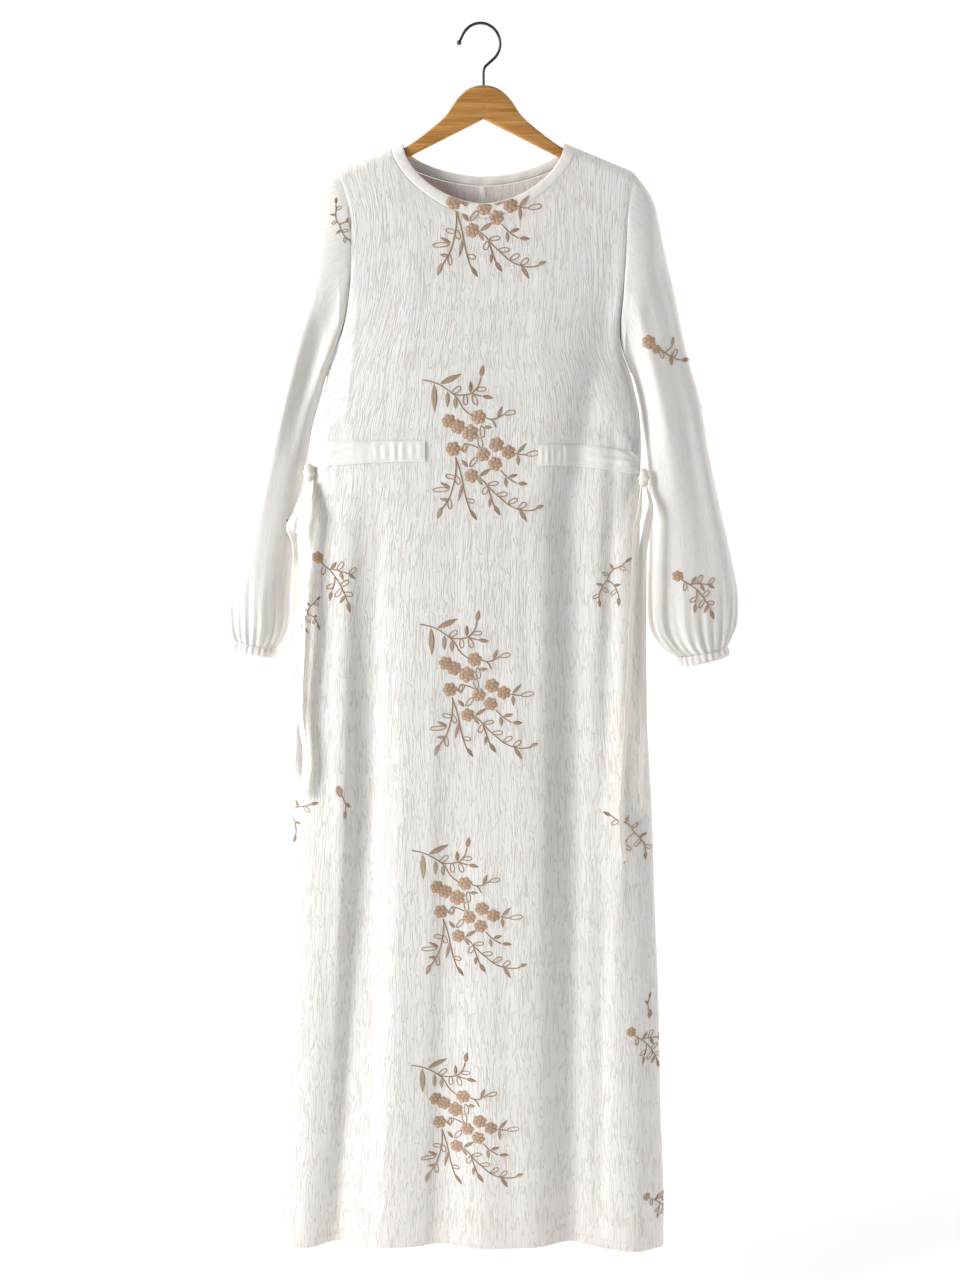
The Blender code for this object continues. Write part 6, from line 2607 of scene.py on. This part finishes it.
@dataclass
class Stitching:
    """Rows of machine stitches: neckband, waist bands and hem.

    Each stitch is a small half-sunk capsule, thinner where it dives into the cloth.
    """

    form: BodyForm
    finish: bpy.types.Material
    pitch: float = 0.0026
    gap: float = 0.0006
    radius: float = 0.00028

    def row(
        self, x: np.ndarray, z: np.ndarray, face: Face, lift: float
    ) -> tuple[np.ndarray, np.ndarray]:
        """Stitches along one line.

        Args:
            x: Places across along the line.
            z: Heights along the line.
            face: Front or back.
            lift: Distance out from the body's cloth.

        Returns:
            Points and quads.
        """
        steps = np.hypot(np.diff(x), np.diff(z))
        length = np.concatenate([[0.0], np.cumsum(steps)])
        count = max(int(length[-1] / self.pitch), 1)
        start = (np.arange(count) * self.pitch)[:, None]
        share = np.linspace(0.0, 1.0, 5)[None, :]
        at = start + share * (self.pitch - self.gap)
        centre_x = np.interp(at, length, x)
        centre_z = np.interp(at, length, z)
        slope_x = np.interp(at + 1e-4, length, x) - np.interp(at - 1e-4, length, x)
        slope_z = np.interp(at + 1e-4, length, z) - np.interp(at - 1e-4, length, z)
        size = np.maximum(np.hypot(slope_x, slope_z), 1e-9)
        swell = np.sin(math.pi * (0.12 + 0.76 * share)) ** 0.5
        turn = np.linspace(-0.2 * math.pi, 1.2 * math.pi, 5)
        out = self.radius * swell[..., None] * np.cos(turn)
        px = centre_x[..., None] - slope_z[..., None] / size[..., None] * out
        pz = centre_z[..., None] + slope_x[..., None] / size[..., None] * out
        up = self.radius * (swell[..., None] * np.sin(turn) - 0.25 + 0 * px)
        points = self.form.place(px, pz, up + lift, face)
        quads = grid_faces(5, 5, False)
        every = (np.arange(count) * 25)[:, None, None] + quads[None]
        return points.reshape(-1, 3), every.reshape(-1, 4)

    def lines(self) -> list[tuple[np.ndarray, np.ndarray, Face, float]]:
        """Where the rows run.

        Returns:
            x, z, face and lift of each.
        """
        rows = []
        for face, seam in ((Face.FRONT, FRONT_SEAM), (Face.BACK, BACK_SEAM)):
            for outward in (0.0016, 0.0046):
                x, z = seam.moved(outward).points(200)
                rows.append((x, z, face, 0.0))
        places = np.linspace(-0.985, 0.985, 300)
        for face in Face:
            z = HEM_Z + self.form.hem_turn - HEM_SIDE_DROP * np.abs(places) ** 3
            left = self.form.outline(LEFT, z)
            right = self.form.outline(RIGHT, z)
            rows.append(((left + right) / 2 + places * (right - left) / 2, z, face, 0.0))
        for band in (LEFT_BAND, RIGHT_BAND):
            along = np.linspace(0.02, 0.985, 90)
            x, top, low = band.lines(along)
            lift = band.laid + band.cloth
            inset = band.stitch_inset
            rows.append((x, top - inset, Face.FRONT, lift))
            rows.append((x, low + inset, Face.FRONT, lift))
            end_x = np.full(20, x[-1])
            end_z = np.linspace(top[-1] - inset, low[-1] + inset, 20)
            rows.append((end_x, end_z, Face.FRONT, lift))
        return rows

    def build(self) -> None:
        """Sew every row."""
        points = []
        quads = []
        count = 0
        for x, z, face, lift in self.lines():
            sewn, faces = self.row(x, z, face, lift)
            points.append(sewn)
            if face is Face.BACK:
                faces = faces[:, ::-1]
            quads.append(faces + count)
            count += len(sewn)
        faces = np.concatenate(quads)
        made = make_object(
            "sewing_thread",
            np.concatenate(points),
            faces.tolist(),
            np.zeros((faces.size, 2)),
            self.finish,
            sharp=80.0,
        )


@dataclass
class Hanger:
    """A wooden hanger with a bent wire hook whose stem stands in it."""

    wood_finish: bpy.types.Material
    steel_finish: bpy.types.Material
    half_length: float = 0.164
    half_thick: float = 0.0055
    tip_half_thick: float = 0.0048
    thin_from: float = 0.100
    edge_round: float = 0.0040
    groove_depth: float = 0.0006
    groove_width: float = 0.0007
    # share of a quarter turn over which sections close up towards the tips
    closing: float = 0.96
    # degrees round the hook's bend and over the ball on its tip
    bend_turn: tuple[float, float] = (152.0, -48.0)
    ball_turn: tuple[float, float] = (172.0, 36.0)
    wire: float = 0.00175
    hook_radius: float = 0.02305
    hook_centre: tuple[float, float] = (-0.0035, -0.0210)
    hook_tip: tuple[float, float] = (-0.0287, -0.0198)
    ball: float = 0.0030
    stem_low: float = -0.0807
    # x, top and lower edge of the wood
    edges: tuple[tuple[float, float, float], ...] = (
        (0.000, -0.0675, -0.1065),
        (0.010, -0.0688, -0.1114),
        (0.021, -0.0736, -0.1168),
        (0.032, -0.0839, -0.1221),
        (0.044, -0.1008, -0.1280),
        (0.061, -0.1159, -0.1363),
        (0.0765, -0.1277, -0.1438),
        (0.096, -0.1402, -0.1533),
        (0.125, -0.1502, -0.1665),
        (0.150, -0.1598, -0.1762),
        (0.160, -0.1640, -0.1785),
        (0.164, -0.1685, -0.1765),
    )
    wire_return: tuple[tuple[float, float], ...] = (
        (0.0055, -0.0436), (0.0020, -0.0468), (0.0005, -0.0500), (0.0, -0.0540), (0.0, -0.0640),
    )

    def wood(self) -> None:
        """Loft the wood: upright sections, each a rectangle with round corners."""
        table = np.array(self.edges)
        reach = math.pi / 2 * self.closing
        x = self.half_length * np.sin(np.linspace(-1.0, 1.0, 131) * reach) / math.sin(reach)
        top = cubic_through(table[:, 0], table[:, 1], np.abs(x))
        low = np.interp(np.abs(x), table[:, 0], table[:, 2])
        thin = smoothstep((np.abs(x) - self.thin_from) / (self.half_length - self.thin_from))
        half = self.half_thick + (self.tip_half_thick - self.half_thick) * thin
        half = half - self.groove_depth * np.exp(-((x / self.groove_width) ** 2))
        radius = np.minimum(self.edge_round, (top - low) * 0.45)
        corner = np.repeat(np.arange(4), 8)
        angle = np.radians(90 * corner + np.tile(np.linspace(0, 90, 8), 4))
        way_y = np.array([1.0, -1.0, -1.0, 1.0])[corner]
        way_z = np.array([1.0, 1.0, -1.0, -1.0])[corner]
        y = way_y * (half - radius)[:, None] + radius[:, None] * np.cos(angle)
        edge = np.where(way_z > 0, (top - radius)[:, None], (low + radius)[:, None])
        z = edge + radius[:, None] * np.sin(angle)
        sections = np.stack([np.repeat(x[:, None], len(angle), axis=1), y, z], axis=-1)
        piece = loft("hanger_wood_body", sections, self.wood_finish, sharp=40.0)
        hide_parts("hanger_wood")

    def hook(self) -> None:
        """Sweep the wire from the ball on its tip, round the bend and down the stem."""
        turn = np.radians(np.linspace(*self.bend_turn, 90))
        arc_x = self.hook_centre[0] + self.hook_radius * np.cos(turn)
        arc_z = self.hook_centre[1] + self.hook_radius * np.sin(turn)
        arc = np.stack([arc_x, arc_z], axis=-1)
        tip = np.array([self.hook_tip])
        into = tip + (arc[:1] - tip) * np.linspace(0.15, 0.85, 6)[:, None]
        bend = np.concatenate([arc[-1:], np.array(self.wire_return)])
        bend = smooth_path(bend, 46)[1:]
        line = np.concatenate([tip, into, arc, bend, [[0.0, self.stem_low]]])
        start = line[0] - line[1]
        start /= np.linalg.norm(start)
        angles = np.radians(np.linspace(*self.ball_turn, 16))
        ball = line[0] - start * self.ball * np.cos(angles)[:, None]
        route = np.concatenate([ball, line[1:]])
        radii = np.concatenate([self.ball * np.sin(angles), np.full(len(line) - 1, self.wire)])
        along = np.gradient(route, axis=0)
        along /= np.linalg.norm(along, axis=-1, keepdims=True)
        side = np.stack([-along[:, 1], along[:, 0]], axis=-1)
        turns = np.linspace(0.0, 2 * math.pi, 24, endpoint=False)
        out = radii[:, None] * np.cos(turns)
        x = route[:, None, 0] + out * side[:, None, 0]
        z = route[:, None, 1] + out * side[:, None, 1]
        y = radii[:, None] * np.sin(turns)
        piece = loft("hanger_hook_wire", np.stack([x, y, z], axis=-1), self.steel_finish, 60.0)
        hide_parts("hanger_hook")

    def build(self) -> None:
        """Make the wood and the hook."""
        self.wood()
        self.hook()


@dataclass
class Dress:
    """The whole dress on its hanger."""

    finishes: Finishes
    form: BodyForm = field(default_factory=BodyForm)

    def build(self) -> None:
        """Make every piece, in the order in which it is sewn."""
        form = self.form
        paint = self.finishes
        front = Panels(form, paint.crepe).build()
        left = Sleeve(form, Side.LEFT, LEFT_RINGS, LEFT_CREASES, paint.sleeve)
        right = Sleeve(form, Side.RIGHT, RIGHT_RINGS, RIGHT_CREASES, paint.sleeve)
        sleeves = {Cloth.SLEEVE_LEFT: left, Cloth.SLEEVE_RIGHT: right}
        for sleeve in sleeves.values():
            sleeve.build()
        Neckband(form, paint.band).build()
        for band in (LEFT_BAND, RIGHT_BAND):
            band.build(form, paint.band)
        for soft in (*KNOTS, *TIES):
            soft.build(paint.tie)
        worked = Embroidery(form, sleeves, paint.thread).build()
        Stitching(form, paint.stitch).build()
        Hanger(paint.wood, paint.steel).build()


@dataclass(frozen=True)
class Lamp:
    """One soft studio light, aimed at a point."""

    name: str
    place: tuple[float, float, float]
    aim: tuple[float, float, float]
    size: tuple[float, float]
    power: float

    def build(self) -> None:
        """Hang the light."""
        data = bpy.data.lights.new(self.name, "AREA")
        data.shape = "RECTANGLE"
        data.size = self.size[0]
        data.size_y = self.size[1]
        data.energy = self.power
        lamp = bpy.data.objects.new(self.name, data)
        lamp.location = self.place
        lamp.rotation_euler = (
            (Vector(self.aim) - Vector(self.place)).to_track_quat("-Z", "Y").to_euler()
        )
        bpy.context.scene.collection.objects.link(lamp)


@dataclass
class Studio:
    """A white cove, soft light from the upper left, and the camera of the photo."""

    floor_z: float = -1.72
    wall_y: float = 1.10
    bend: float = 0.60
    reach: float = 6.0
    bend_rows: int = 24
    paper: str = "F8F8F7"
    paper_roughness: float = 0.9
    ambient: float = 0.14
    tilt: float = 12.02
    sensor: float = 36.0
    lens: float = 50.34
    camera_place: tuple[float, float, float] = (-0.0041, -2.2, -0.268)
    lamps: tuple[Lamp, ...] = (
        Lamp("key", (-2.9, -1.40, 0.4), (0.0, 0.0, -0.80), (0.8, 2.0), 105.0),
        Lamp("fill", (1.2, -3.0, 0.2), (0.0, 0.0, -0.8), (2.2, 2.6), 8.0),
        Lamp("wall_left", (-2.4, 0.2, 0.6), (-0.6, 1.1, -0.8), (1.2, 2.4), 43.0),
        Lamp("wall_right", (2.4, 0.2, 0.6), (0.6, 1.1, -0.8), (1.2, 2.4), 38.0),
    )

    def cove(self) -> None:
        """Sweep the floor up into the wall along a quarter circle."""
        turn = np.linspace(0.0, math.pi / 2, self.bend_rows)
        bend_y = self.wall_y - self.bend + self.bend * np.sin(turn)
        bend_z = self.floor_z + self.bend - self.bend * np.cos(turn)
        y = np.concatenate([[-self.reach], bend_y, [self.wall_y]])
        z = np.concatenate([[self.floor_z], bend_z, [self.reach]])
        x = np.array([-self.reach, self.reach])
        points = np.stack(
            [
                np.repeat(x[None, :], len(y), axis=0),
                np.repeat(y[:, None], 2, axis=1),
                np.repeat(z[:, None], 2, axis=1),
            ],
            axis=-1,
        )
        mesh = bpy.data.meshes.new("cove")
        faces = grid_faces(len(y), 2, False)
        mesh.from_pydata(points.reshape(-1, 3).tolist(), [], faces.tolist())
        shader = Shader("studio_paper")
        look = {"Base Color": linear(self.paper), "Roughness": self.paper_roughness}
        shader.feed(shader.surface, look)
        mesh.materials.append(shader.material)
        mesh.shade_smooth()
        piece = bpy.data.objects.new("cove", mesh)
        bpy.context.scene.collection.objects.link(piece)
        piece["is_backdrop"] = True

    def world(self) -> None:
        """Fill the room with an even white light."""
        world = bpy.data.worlds.new("studio")
        world.use_nodes = True
        background = world.node_tree.nodes["Background"]
        background.inputs["Color"].default_value = linear("FFFFFF")
        background.inputs["Strength"].default_value = self.ambient
        bpy.context.scene.world = world
        bpy.context.scene.view_settings.view_transform = "Standard"

    def camera(self) -> None:
        """Set up the camera as the photo's."""
        data = bpy.data.cameras.new("photo_camera")
        data.lens = self.lens
        data.sensor_width = self.sensor
        camera = bpy.data.objects.new("photo_camera", data)
        camera.location = self.camera_place
        camera.rotation_euler = (math.radians(90.0 - self.tilt), 0.0, 0.0)
        bpy.context.scene.collection.objects.link(camera)
        bpy.context.scene.camera = camera

    def build(self) -> None:
        """Set up the whole studio."""
        self.cove()
        self.world()
        for lamp in self.lamps:
            lamp.build()
        self.camera()


def corners() -> list[list[float]]:
    """The shown object's lowest and highest corner.

    Returns:
        Two plain lists, in metres.
    """
    return [[round(float(value), 5) for value in corner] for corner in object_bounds()]


def main() -> None:
    """Build the dress and its studio."""
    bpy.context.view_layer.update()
    Dress(Finishes.make()).build()
    Studio().build()
    bpy.context.view_layer.update()


if __name__ == "__main__":
    main()
